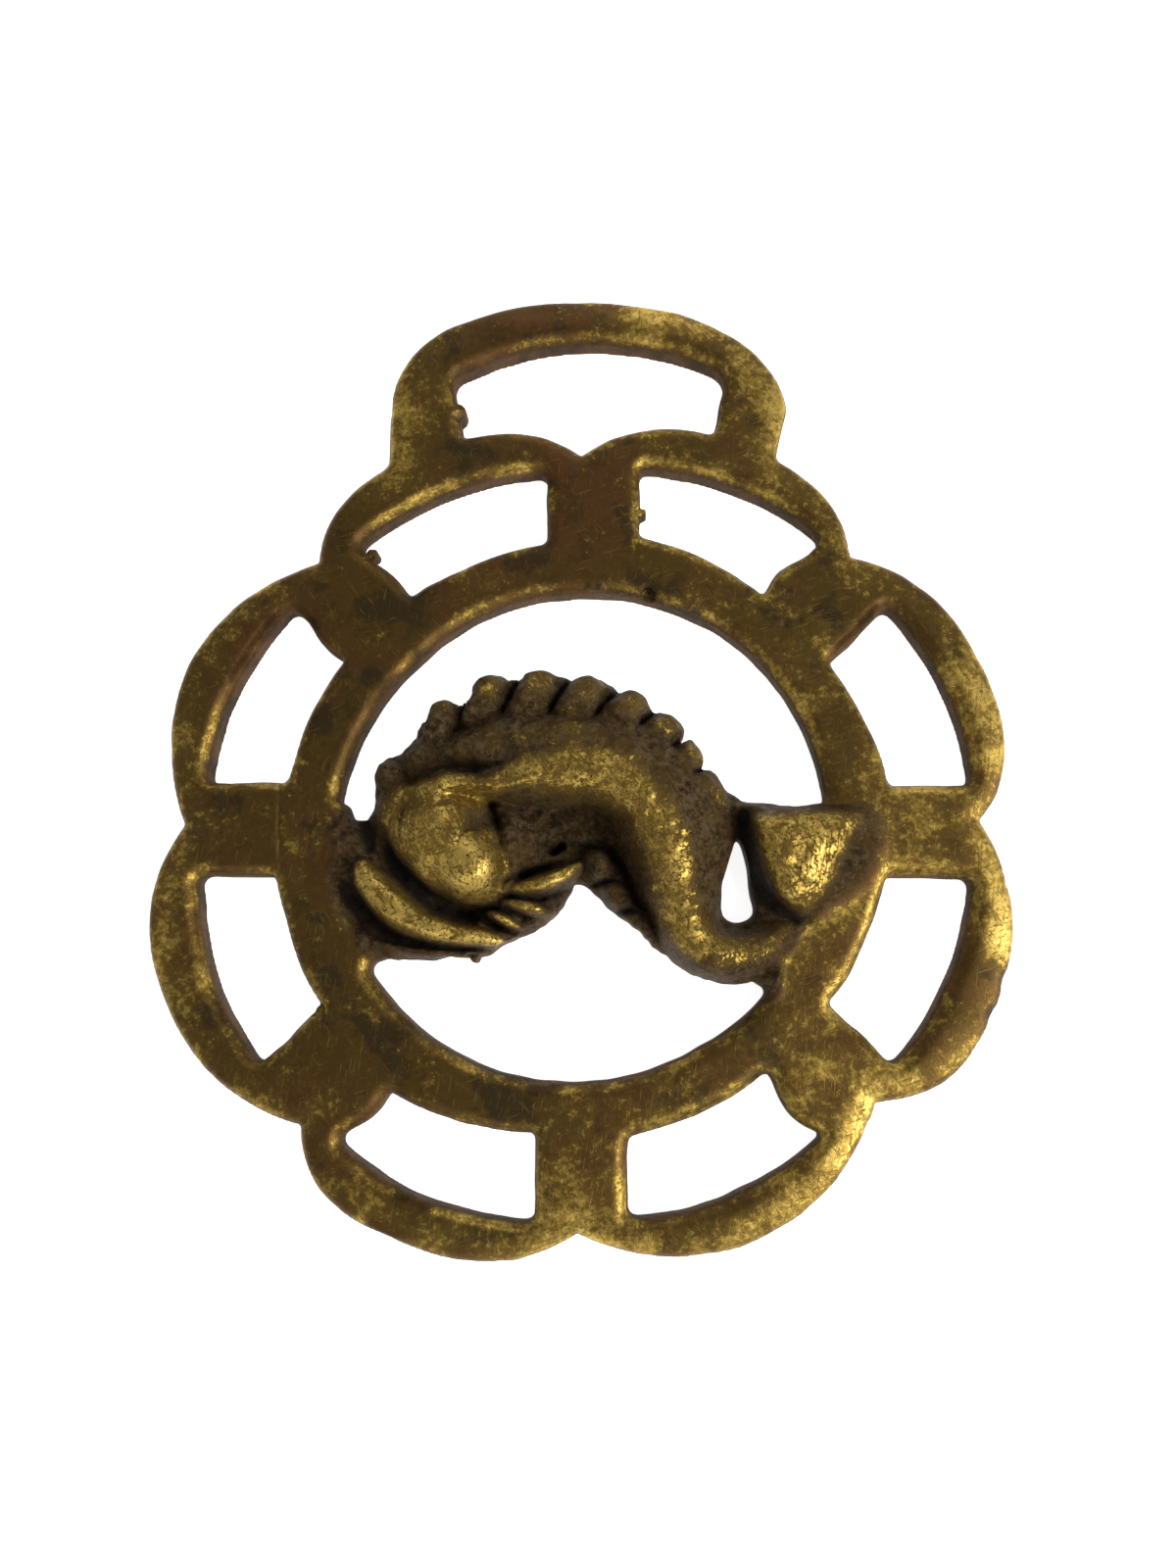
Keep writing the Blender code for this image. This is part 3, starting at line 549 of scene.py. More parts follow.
def outline_distance(plan, points):
    """Signed distance from a closed line, negative inside it."""
    line = smooth_path(points, closed=True, steps=5)
    inside = np.zeros(plan.shape, bool)
    nearest = np.full(plan.shape, np.inf)
    everywhere = (slice(None), slice(None))
    for distance, start, end, _ in segments(plan, everywhere, line):
        nearest = np.minimum(nearest, np.abs(distance))
        spans = (start[1] > plan.Y) != (end[1] > plan.Y)
        rise = end[1] - start[1] if abs(end[1] - start[1]) > TINY else TINY
        crossing = start[0] + (plan.Y - start[1]) / rise * (end[0] - start[0])
        inside ^= spans & (plan.X < crossing)
    return np.where(inside, -nearest, nearest)


def lobe_spans():
    """Each lobe with the notches before and after it."""
    for k, lobe in enumerate(LOBES):
        before, after = NOTCHES[k], NOTCHES[(k + 1) % len(NOTCHES)]
        if after.direction < before.direction:
            after = after._replace(direction=after.direction + 360)
        yield k, lobe, before, after


def scallop_radius(turn):
    """Radius of the ring of lobes in each direction."""
    radius = np.zeros_like(turn)
    for _, lobe, before, after in lobe_spans():
        share = (turn - before.direction) % 360 / (after.direction - before.direction)
        early = (lobe.crest_at - share) / lobe.crest_at
        late = (share - lobe.crest_at) / (1 - lobe.crest_at)
        away = np.abs(np.where(share < lobe.crest_at, early, late))
        here = between(before.radius, after.radius, share) + lobe.rise * (1 - away ** lobe.fullness)
        radius = np.where(share <= 1, here, radius)
    return radius


def bore_radius(turn):
    oval = RING_OVAL * np.cos(2 * np.radians(turn - RING_OVAL_TURN))
    shift = RING_SHIFT[0] * np.cos(np.radians(turn)) + RING_SHIFT[1] * np.sin(np.radians(turn))
    return RING_BORE / 2 + oval + shift


def window(plan, k, lobe, before, after):
    """The opening inside a lobe, negative inside the opening."""
    crest = between(before.radius, after.radius, lobe.crest_at) + lobe.rise
    middle = SPOKE_TURN * (k + 0.5)
    away = (plan.turn - middle + 180) % 360 - 180
    radius = np.maximum(plan.radius, 1.0)
    start = -SPOKE_TURN / 2 + np.degrees(np.arcsin(np.minimum(lobe.sides[0] / radius, 1)))
    end = SPOKE_TURN / 2 - np.degrees(np.arcsin(np.minimum(lobe.sides[1] / radius, 1)))
    share = np.clip((away - start) / np.maximum(end - start, 1.0), 0, 1)
    ring_side = bore_radius(middle + away) + between(*lobe.band, share) - plan.radius
    swell = WINDOW_SWELL * np.sin(math.pi * share)
    rim_side = plan.radius - (crest - between(*lobe.rim, share) + swell)
    start_side = lobe.sides[0] - radius * np.sin(np.radians(away + SPOKE_TURN / 2))
    end_side = lobe.sides[1] - radius * np.sin(np.radians(SPOKE_TURN / 2 - away))
    outer = soft_max(rim_side, np.maximum(start_side, end_side), RIM_CORNER)
    opening = soft_max(outer, ring_side, RING_CORNER)
    return np.where(np.abs(away) < SPOKE_TURN / 2, opening, FAR)


def hanger(plan):
    """The hanger's outline, without its slot."""
    below = np.maximum(0, HANGER_SHOULDER - plan.Y)
    right = plan.X > 0
    half = np.where(right, HANGER_RIGHT - HANGER_RIGHT_LEAN * below, HANGER_LEFT)
    fullness = np.where(right, HANGER_RIGHT_FULLNESS, HANGER_LEFT_FULLNESS)
    across = np.abs(plan.X) / half
    up = np.maximum(0, plan.Y - HANGER_SHOULDER) / (HANGER_TOP - HANGER_SHOULDER)
    level = (across ** fullness + up ** fullness) ** (1 / fullness) - 1
    reach = between(HANGER_LEFT, HANGER_TOP - HANGER_SHOULDER, np.clip(up, 0, 1))
    return np.maximum(level * reach, HANGER_FROM - plan.Y)


def slot(plan):
    """The strap slot, negative inside it."""
    top = HANGER_TOP - HANGER_BAR
    half_width = (HANGER_LEFT + HANGER_RIGHT) / 2
    middle = (HANGER_RIGHT - HANGER_LEFT) / 2 + SLOT_SHIFT
    head = half_width - HANGER_LEG_TOP
    foot = half_width - HANGER_LEG_FOOT
    arc_radius = (head ** 2 + SLOT_SAG ** 2) / (2 * SLOT_SAG)
    crown = np.hypot(plan.X - middle, plan.Y - (top - arc_radius)) - arc_radius
    share = (plan.Y - SLOT_FOOT) / (top - SLOT_SAG - SLOT_FOOT)
    legs = np.abs(plan.X - middle) - between(foot, head, share)
    sill = scallop_radius(plan.turn) - plan.radius
    opening = soft_max(soft_max(crown, legs, SLOT_CORNER), sill, SLOT_CORNER / 2)
    return np.where(plan.Y > SLOT_LOWEST, opening, FAR)


def web_line():
    """The edge of the plate under the figure."""
    def sweep(radius, ends, count, centre=(0, 0)):
        turns = np.linspace(*ends, count)
        angles = np.radians(turns)
        size = radius(turns) if callable(radius) else radius
        return np.stack([centre[0] + size * np.cos(angles), centre[1] + size * np.sin(angles)], axis=1)

    def seat(turns):
        return bore_radius(turns) + WEB_SEAT

    centre = np.array(CREST_CENTRE) * FIGURE
    crest = sweep(WEB_CREST_RADIUS * FIGURE, WEB_CREST_SWEEP, CREST_POINTS, centre)
    top_right, belly, chin, neck = [np.array(part) * FIGURE for part in
                                    (WEB_TOP_RIGHT, WEB_BELLY, WEB_CHIN, WEB_NECK)]
    right = sweep(seat, WEB_RIGHT_SWEEP, SEAT_POINTS)
    left = sweep(seat, WEB_LEFT_SWEEP, SEAT_POINTS)
    return np.concatenate([crest, top_right, right, belly, chin, left, neck])


def finger_path(finger):
    """A finger's middle line, with half widths and tops, from its base to the middle of its round tip."""
    tip, base = np.array(finger.tip), np.array(finger.base)
    along = (tip - base) / np.linalg.norm(tip - base)
    end = tip - along * finger.half
    waist = finger.half * FINGER_WAIST
    middle = (base + end) / 2
    return [(*base, waist, FINGER_BASE),
            (*middle, between(waist, finger.half, FINGER_WIDENS), FINGER_HEIGHT),
            (*end, finger.half, FINGER_TIP_HEIGHT)]


def finger_gaps():
    """A groove between each two fingers, from just past their tips to between their bases."""
    for first, second in zip(FINGERS[:-1], FINGERS[1:]):
        outer = (np.array(first.tip) + np.array(second.tip)) / 2
        inner = (np.array(first.base) + np.array(second.base)) / 2
        yield [(*between(outer, inner, share), half, deep) for share, half, deep in GAP_PATH]


def spot(at, half):
    """A path so short that its ridge is a round lump."""
    return [(*at, half), (at[0] + 0.1, at[1], half)]


def footprint(plan, path, field):
    """Adds the ground under a ridge to the plan."""
    line = smooth_path(path, steps=4)
    part = plan.near(line, PATH_REACH)
    nearest = np.full(plan.X[part].shape, FAR)
    for distance, _, _, values in segments(plan, part, line):
        nearest = np.minimum(nearest, np.abs(distance) - values[0])
    field[part] = np.minimum(field[part], nearest)


def rough_plan(plan):
    """Signed field of the casting seen from the front, negative in the metal, and the outer edge alone."""
    scallops = plan.radius - scallop_radius(plan.turn)
    outer = soft_min(scallops, hanger(plan), SEAM)
    metal = np.maximum(outer, bore_radius(plan.turn) - plan.radius)
    for k, lobe, before, after in lobe_spans():
        metal = np.maximum(metal, -window(plan, k, lobe, before, after))
    metal = np.maximum(metal, -slot(plan))
    for out, turn, radius in BOSSES:
        x, y = out * math.cos(math.radians(turn)), out * math.sin(math.radians(turn))
        boss = np.maximum(np.hypot(plan.X - x, plan.Y - y) - radius, outer)
        metal = soft_min(metal, boss, SEAM)
    metal = plan.roughened(metal, EDGE_WANDER, EDGE_SEED)
    metal = soft_min(metal, outline_distance(plan, web_line()), SEAM)
    for finger in FINGERS:
        footprint(plan, finger_path(finger), metal)
    knobs = [(form.at, form.radii[0]) for form in DOMES if form.name == "knob"]
    for at, half in knobs + [(burr[0], burr[1]) for burr in BURRS]:
        footprint(plan, spot(at, half), metal)
    in_bore = ramp(*WEB_WANDER_FADE, bore_radius(plan.turn) - plan.radius)
    metal = plan.roughened(metal, WEB_WANDER, WEB_SEED, in_bore)
    gap = outline_distance(plan, np.array(TAIL_GAP) * FIGURE)
    return soft_max(metal, -gap, TAIL_GAP_CORNER), outer


def true_distance(plan, field):
    """The same edges as a true signed distance."""
    points = []
    for axis in (0, 1):
        a = field[:-1, :] if axis == 0 else field[:, :-1]
        b = field[1:, :] if axis == 0 else field[:, 1:]
        i, j = np.nonzero((a < 0) != (b < 0))
        share = a[i, j] / (a[i, j] - b[i, j])
        none = np.zeros_like(share)
        shift = np.stack([share, none] if axis == 0 else [none, share], axis=1)
        points.append(plan.low + (np.stack([i, j], axis=1) + shift) * STEP)
    points = np.concatenate(points)
    tree = kdtree.KDTree(len(points))
    for k, (x, y) in enumerate(points):
        tree.insert((x, y, 0), k)
    tree.balance()
    flat = [tree.find((x, y, 0))[2] for x, y in zip(plan.X.ravel(), plan.Y.ravel())]
    distance = np.array(flat).reshape(plan.shape)
    return np.where(field < 0, -distance, distance)


def oval_share(plan, at, radii, turn):
    """0 in the middle of an oval and 1 on its edge."""
    angle = math.radians(turn)
    dx, dy = plan.X - at[0], plan.Y - at[1]
    u = (math.cos(angle) * dx + math.sin(angle) * dy) / radii[0]
    v = (math.cos(angle) * dy - math.sin(angle) * dx) / radii[1]
    return np.hypot(u, v)


def oval_mask(plan, at, radii, turn, fade):
    """1 in the middle of an oval, fading out round its edge."""
    return ramp(*fade, oval_share(plan, at, radii, turn))


def dome_height(plan, form):
    away = oval_share(plan, form.at, form.radii, form.turn)
    return form.height * np.sqrt(np.clip(1 - away ** form.swell, 0, None))


def ridge_height(plan, path, swell):
    """A rounded ridge along a path."""
    line = smooth_path(path)
    part = plan.near(line, line[:, 2].max())
    made = np.zeros(plan.shape)
    for distance, _, _, (half, top) in segments(plan, part, line):
        here = top * np.sqrt(np.clip(1 - (np.abs(distance) / half) ** swell, 0, None))
        made[part] = np.maximum(made[part], here)
    return made


def back_height(plan):
    """The figure's back, with a gentle side and a steep one."""
    line = smooth_path(BACK)
    part = plan.near(line, line[:, 2].max())
    nearest = np.full(plan.X[part].shape, np.inf)
    made = np.zeros(plan.shape)
    for distance, _, _, (left, right, top) in segments(plan, part, line):
        gentle = np.clip(1 - np.clip(distance / left, 0, 1) ** BACK_SWELL_LEFT, 0, None)
        steep = np.clip(1 - np.clip(-distance / right, 0, 1) ** BACK_SWELL_RIGHT, 0, None)
        here = top * np.sqrt(np.where(distance > 0, gentle, steep))
        closer = np.abs(distance) < nearest
        made[part] = np.where(closer, here, made[part])
        nearest = np.minimum(nearest, np.abs(distance))
    return made


def groove_cut(plan, path, darkness):
    """How deep a groove cuts, and how dark its painted shade and grime are."""
    line = smooth_path(path, steps=6)
    part = plan.near(line, 3 * line[:, 2].max())
    made, dark = np.zeros(plan.shape), np.zeros(plan.shape)
    for distance, _, _, (half, deep) in segments(plan, part, line):
        share = np.exp(-(distance / half) ** 2)
        made[part] = np.maximum(made[part], deep * share)
        dark[part] = np.maximum(dark[part], darkness * np.clip(GROOVE_DARKENS * deep, 0, 1) * share)
    return made, dark


def softened(field, rounds):
    """The field with its sharp places rounded away."""
    for _ in range(rounds):
        for axis in (0, 1):
            field = (np.roll(field, 1, axis) + 2 * field + np.roll(field, -1, axis)) / 4
    return field


def pillow_height(plan):
    inside = -outline_distance(plan, FLUKE)
    share = np.clip((inside + FLUKE_SPREAD) / FLUKE_ROLL, 0, 1)
    roll = np.sqrt(1 - (1 - share) ** 2)
    top = FLUKE_TOP - FLUKE_FALL * (plan.X - FLUKE_MIDDLE)
    return softened(np.where(share > 0, between(FLUKE_FOOT, top, roll), 0), FLUKE_ROUNDS)


def edge_drop(depth, radius):
    """How far a rounded edge falls below the flat, at this depth inside it."""
    left = np.clip(radius - depth, 0, radius)
    return radius - np.sqrt(radius ** 2 - left ** 2)


def relief(plan, distance, outer):
    """Height of the front, its part that is the figure, and how dark the hollows are painted with shade and
    grime.
    """
    depth = -distance
    crown = np.clip(1 + outer / OUTER_CROWN_REACH, 0, 1) ** 2
    outer_share = ramp(*EDGE_CHANGE, outer)
    drop = between(edge_drop(depth, INNER_EDGE), edge_drop(depth, FRONT_EDGE), outer_share)
    plate = PLATE - drop - OUTER_CROWN * crown
    crest = ridge_height(plan, FIN_BAND.path, FIN_BAND.swell)
    for finger in FINGERS:
        crest = soft_max(crest, ridge_height(plan, finger_path(finger), FINGER_SWELL), FINGER_BLEND)
    figure = soft_max(ridge_height(plan, SHOULDER.path, SHOULDER.swell), crest, SHOULDER.blend)
    figure = soft_max(figure, back_height(plan), BACK_BLEND)
    for form in DOMES:
        figure = soft_max(figure, dome_height(plan, form), FORM_BLEND)
    for form in RIDGES:
        figure = soft_max(figure, ridge_height(plan, form.path, form.swell), form.blend)
    figure = soft_max(figure, pillow_height(plan), FORM_BLEND)
    height = soft_max(plate, figure, SEAM)
    # Grooves and pits are cut in, and painted dark with shade and grime
    shade_and_grime = np.zeros(plan.shape)
    cuts = [(groove.path, groove.dark) for groove in GROOVES] + [(path, 1.0) for path in finger_gaps()]
    for path, darkness in cuts:
        cut, dark = groove_cut(plan, path, darkness)
        height = height - cut
        shade_and_grime = np.maximum(shade_and_grime, dark)
    for at, radius, deep in PITS:
        away = np.hypot(plan.X - at[0], plan.Y - at[1]) / radius
        cut = np.exp(-away ** 4)
        height = height - deep * cut
        shade_and_grime = np.maximum(shade_and_grime, cut * min(1.0, PIT_DARKENS * deep))
    for at, half, top in BURRS:
        away = np.hypot(plan.X - at[0], plan.Y - at[1])
        height = np.where(away < half + BURR_REACH, np.minimum(height, top), height)
    return height, figure, shade_and_grime


def polish_on_figure(plan):
    """How much the figure's high places are rubbed bright, the cheek partly as a painted highlight."""
    made = np.zeros(plan.shape)
    for strength, path in POLISH:
        line = smooth_path(path)
        part = plan.near(line, PATH_REACH)
        for distance, _, _, (half,) in segments(plan, part, line):
            made[part] = np.maximum(made[part], strength * ramp(*BAND_FADE, np.abs(distance) / half))
    # The cheek's extra brightness is partly a painted highlight
    for at, radii, turn, strength in DOMES_RUBBED_AND_LIT:
        made = np.maximum(made, strength * oval_mask(plan, at, radii, turn, DOME_FADE))
    for finger in FINGERS:
        tip, base = np.array(finger.tip), np.array(finger.base)
        top = tip + (base - tip) / np.linalg.norm(base - tip) * finger.half * TIP_INSET
        away = np.hypot(plan.X - top[0], plan.Y - top[1]) / finger.half
        made = np.maximum(made, POLISHED_TIP * ramp(*TIP_FADE, away))
    inside = -outline_distance(plan, FLUKE)
    return np.maximum(made, FLUKE_POLISH * ramp(*FLUKE_FADE, inside))


def polish_on_frame(plan, rim, outer):
    """How much the frame is rubbed bright, with painted light from the right in it."""
    patches = plan.roughened(0.0, PATCHES, PATCH_SEED)
    # Brighter to the right and dimmer on the left's outer edge: partly wear, partly painted light from the
    # right
    to_right = ramp(*RIGHT_RISE, plan.X - RIGHT_SLANT * plan.Y)
    outer_rim = ramp(*OUTER_RISE, outer) * between(LEFT_SHARE, 1.0, to_right)
    edges = np.maximum(RIM_POLISH * rim, OUTER_POLISH * outer_rim)
    made = FRAME_POLISH + edges * (1 + RIM_PATCHES * patches)
    made = made + RIGHT_WEAR_AND_LIGHT * to_right + FRAME_PATCHES * patches
    for at, radii, strength in RUBBED:
        made = made + strength * oval_mask(plan, at, radii, 0, PATCH_FADE)
    made = np.maximum(made, CRESCENT_POLISH * oval_mask(plan, *CRESCENT, CRESCENT_FADE))
    dulled = np.zeros(plan.shape)
    for place in DULLED:
        dulled = np.maximum(dulled, oval_mask(plan, *place, PATCH_FADE))
    return between(made, CRUSTED, dulled * rim)


def carve(plan):
    """The casting's fields over the plan: distance to its edges, height, and the masks of its finish."""
    rough, outer = rough_plan(plan)
    distance = true_distance(plan, rough)
    height, figure, shade_and_grime = relief(plan, distance, outer)
    ragged = plan.roughened(bore_radius(plan.turn) - plan.radius, BORE_RAGGED, RAGGED_SEED)
    on_figure = np.maximum(ramp(*FIGURE_FADE, figure), ramp(*BORE_FADE, ragged))
    rubbed = polish_on_figure(plan)
    dull = np.clip(on_figure - rubbed, 0, 1)
    for k, (size, smooth, coarse) in enumerate(ROUGHNESS):
        height = height + plan.noise(size, ROUGHNESS_SEED + k) * between(smooth, coarse, dull)
    rim = ramp(*RIM_RISE, -distance) * ramp(*RIM_FALL, -distance)
    polish = between(polish_on_frame(plan, rim, outer), rubbed, on_figure)
    polish = polish * (1 - HOLLOW_KEEPS * np.clip(HOLLOW_REACH * shade_and_grime, 0, 1))
    warm = RIM_WARMTH * rim * (1 - on_figure)
    for at, radii in WARM:
        warm = np.maximum(warm, oval_mask(plan, at, radii, 0, WARM_FADE))
    return {
        "distance": distance,
        "height": height,
        "polish": np.clip(polish, CRUSTED, MOST_POLISH),
        "figure": on_figure,
        "warm": warm,
        # Painted shade and grime in the hollows, and darker where the dull figure is low
        "shade_and_grime": np.clip(shade_and_grime + LOW_DARKENING * dull * ramp(*LOW_FADE, height), 0, 1),
    }


def solid_field(plan, fields, top):
    """The casting as a field in space, negative in the metal."""
    layers = np.arange(FIRST_LAYER, top, STEP)
    height = fields["height"]
    slope_x, slope_y = np.gradient(height, STEP)
    steepness = np.sqrt(1 + np.minimum(slope_x ** 2 + slope_y ** 2, STEEPEST ** 2))
    front = (layers[None, None, :] - height[:, :, None]) / steepness[:, :, None]
    field = np.maximum(front, fields["distance"][:, :, None])
    return np.maximum(field, -layers[None, None, :]).astype(np.float32)


def surface(field, low):
    """Corners and four-sided faces of the field's zero surface, one corner in each cell that it crosses."""
    inside = field < 0
    nx, ny, nz = field.shape
    offsets = [(i, j, k) for i in (0, 1) for j in (0, 1) for k in (0, 1)]
    count = np.zeros((nx - 1, ny - 1, nz - 1), np.int8)
    for i, j, k in offsets:
        count += inside[i:nx - 1 + i, j:ny - 1 + j, k:nz - 1 + k]
    crossed = (count > 0) & (count < 8)
    cell = np.argwhere(crossed)
    number = np.full(crossed.shape, -1, np.int32)
    number[crossed] = np.arange(len(cell))
    values = [field[cell[:, 0] + i, cell[:, 1] + j, cell[:, 2] + k] for i, j, k in offsets]
    total = np.zeros((len(cell), 3))
    hits = np.zeros(len(cell))
    for a, first in enumerate(offsets):
        for b, second in enumerate(offsets):
            if a < b and sum(p != q for p, q in zip(first, second)) == 1:
                cross = (values[a] < 0) != (values[b] < 0)
                share = np.where(cross, values[a] / np.where(cross, values[a] - values[b], 1), 0)
                point = np.array(first) + share[:, None] * (np.array(second) - np.array(first))
                total += np.where(cross[:, None], point, 0)
                hits += cross
    corners = low + (cell + total / hits[:, None]) * STEP
    faces = []
    for axis in range(3):
        start = [slice(1, -1)] * 3
        end = [slice(1, -1)] * 3
        start[axis], end[axis] = slice(0, -1), slice(1, None)
        leaving = inside[tuple(start)]
        changed = leaving != inside[tuple(end)]
        edge = np.argwhere(changed)
        outward = leaving[changed]
        u, v = (axis + 1) % 3, (axis + 2) % 3
        edge[:, u] += 1
        edge[:, v] += 1
        quad = []
        for du, dv in ((1, 1), (0, 1), (0, 0), (1, 0)):
            place = edge.copy()
            place[:, u] -= du
            place[:, v] -= dv
            quad.append(number[place[:, 0], place[:, 1], place[:, 2]])
        quad = np.stack(quad, axis=1)
        quad[~outward] = quad[~outward][:, ::-1]
        faces.append(quad)
    return corners, np.concatenate(faces)


def thinned(mesh, triangles):
    """The mesh with about this many triangles."""
    work = bpy.data.objects.new("thinning", mesh)
    bpy.context.scene.collection.objects.link(work)
    thin = work.modifiers.new("thin", "DECIMATE")
    thin.ratio = triangles / (2 * len(mesh.polygons))
    bpy.context.view_layer.update()
    graph = bpy.context.evaluated_depsgraph_get()
    made = bpy.data.meshes.new_from_object(work.evaluated_get(graph))
    bpy.data.objects.remove(work, do_unlink=True)
    return made


def coordinates(mesh):
    flat = np.zeros(len(mesh.vertices) * 3, np.float32)
    mesh.vertices.foreach_get("co", flat)
    return flat.reshape(-1, 3)


def store(mesh, name, values):
    layer = mesh.attributes.new(name, "FLOAT", "POINT")
    layer.data.foreach_set("value", values.astype(np.float32))


def casting():
    """The whole brass as one closed mesh that carries the masks of its finish."""
    low, high = cad_box
    plan = Plan(low, high)
    fields = carve(plan)
    field = solid_field(plan, fields, high.z / MM + HEADROOM)
    corners, faces = surface(field, np.array([*plan.low, FIRST_LAYER]))
    corners = np.clip(corners, np.array(low) / MM, np.array(high) / MM)
    mesh = bpy.data.meshes.new("brass_casting")
    mesh.from_pydata((corners * MM).tolist(), [], faces.tolist())
    mesh = thinned(mesh, TRIANGLES)
    mesh.name = "brass_casting"
    places = coordinates(mesh) / MM
    normals = np.zeros(len(mesh.vertices) * 3, np.float32)
    mesh.vertex_normals.foreach_get("vector", normals)
    upright = normals.reshape(-1, 3)[:, 2]
    on_front = ramp(*FRONT_FACING, upright)
    wall = ramp(*WALL_FACING, np.abs(upright)) * ramp(*WALL_BELOW, places[:, 2])
    # Polish, and the painted shade and grime of the hollows, go only on faces that look up
    for name, share in (("polish", on_front), ("shade_and_grime", on_front), ("figure", 1.0), ("warm", 1.0)):
        store(mesh, name, plan.sample(fields[name], places[:, :2]) * share)
    store(mesh, "wall", wall)
    mesh.shade_smooth()
    piece = bpy.data.objects.new("brass_casting", mesh)
    bpy.context.scene.collection.objects.link(piece)
    return piece


class Nodes:
    """Short ways to add and link a material's nodes."""

    def __init__(self, name):
        self.material = bpy.data.materials.new(name)
        self.material.use_nodes = True
        self.tree = self.material.node_tree
        self.shader = self.tree.nodes["Principled BSDF"]

    def add(self, kind, values=None, **settings):
        node = self.tree.nodes.new(kind)
        for key, value in settings.items():
            setattr(node, key, value)
        for key, value in (values or {}).items():
            self.feed(node.inputs[key], value)
        return node

    def feed(self, socket, value):
        if isinstance(value, bpy.types.NodeSocket):
            self.tree.links.new(value, socket)
        else:
            socket.default_value = value

    def attribute(self, name):
        return self.add("ShaderNodeAttribute", attribute_name=name).outputs["Fac"]

    def noise(self, size, detail, rough, shift, stretch=1.0, turn=0.0):
        """Noise from 0 to 1, its bumps this many millimetres apart and drawn out along one direction."""
        place = self.add("ShaderNodeTexCoord").outputs["Object"]
        moved = self.add("ShaderNodeMapping", {
            "Vector": place,
            "Location": (shift, shift, shift),
            "Rotation": (0, 0, math.radians(turn)),
            "Scale": (stretch, 1.0, 1.0),
        }, vector_type="TEXTURE").outputs["Vector"]
        return self.add("ShaderNodeTexNoise", {
            "Vector": moved,
            "Scale": 1 / (size * MM),
            "Detail": detail,
            "Roughness": rough,
        }).outputs["Fac"]

    def math(self, operation, a, b=0.0, c=0.0):
        node = self.add("ShaderNodeMath", operation=operation)
        for socket, value in zip(node.inputs, (a, b, c)):
            self.feed(socket, value)
        return node.outputs[0]

    def ramp(self, value, low, high):
        """0 below low and 1 above high, or the other way round."""
        return self.add("ShaderNodeMapRange", {
            "Value": value, "From Min": low, "From Max": high}, interpolation_type="SMOOTHSTEP").outputs[0]

    def mask(self, value, low, high, strength):
        """0 below low and this strong above high."""
        return self.math("MULTIPLY", self.ramp(value, low, high), strength)

    def swing(self, value, amount, middle=0.5):
        """The value's way from the middle, times the amount."""
        return self.math("MULTIPLY", self.math("SUBTRACT", value, middle), amount)

    def colour(self, share, a, b):
        node = self.add("ShaderNodeMix", data_type="RGBA")
        self.feed(node.inputs["Factor"], share)
        for socket, value in ((node.inputs[6], a), (node.inputs[7], b)):
            self.feed(socket, value if isinstance(value, bpy.types.NodeSocket) else (*value, 1.0))
        return node.outputs[2]

    def number(self, share, a, b):
        return self.math("MULTIPLY_ADD", share, self.math("SUBTRACT", b, a), a)


# Colours of the patina, of its crust and of the metal under it, and the black of painted shade and grime
OLIVE_BROWN = (0.078, 0.046, 0.0105)
DARK_BROWN = (0.024, 0.014, 0.005)
RED_BROWN = (0.086, 0.040, 0.013)
SLATE_BROWN = (0.028, 0.021, 0.011)
GREY_BROWN = (0.125, 0.082, 0.037)
PALE_CRUST = (0.150, 0.105, 0.052)
THIN_PATINA = (0.170, 0.108, 0.023)
OLD_GOLD = (0.26, 0.170, 0.036)
WORN_BRASS = (0.50, 0.345, 0.085)
# The black of the painted shade and grime in the deepest hollows
BLACK_SHADE_AND_GRIME = (0.006, 0.004, 0.003)

# The finish's patterns: size in millimetres, detail, roughness, shift
CLOUD = (9.0, 2.0, 0.6, 0.0)
MOTTLE = (2.6, 5.0, 0.6, 0.3)
GRIT = (0.60, 6.0, 0.72, 0.7)
SPECKS = (0.34, 4.0, 0.7, 1.1)
BLOTCH = (5.5, 4.0, 0.55, 4.1)
GRAIN = (0.26, 4.0, 0.7, 2.9)

# Its scratches: size, detail and roughness, length over width, and the directions they run in with a shift
SCRATCH = (0.20, 2.0, 0.5)
SCRATCH_STRETCH = 12.0
SCRATCH_WAYS = ((18, 2.15), (-52, 0.4), (82, 3.75))
STREAK_MIDDLE = 0.56

# How shiny the finish is
GOLD_ROUGHNESS = 0.46
GRIME_ROUGHNESS = 0.75
CRUST_ROUGHNESS = 0.85
GRIME_METALLIC = 0.30
SPECULAR = 0.2


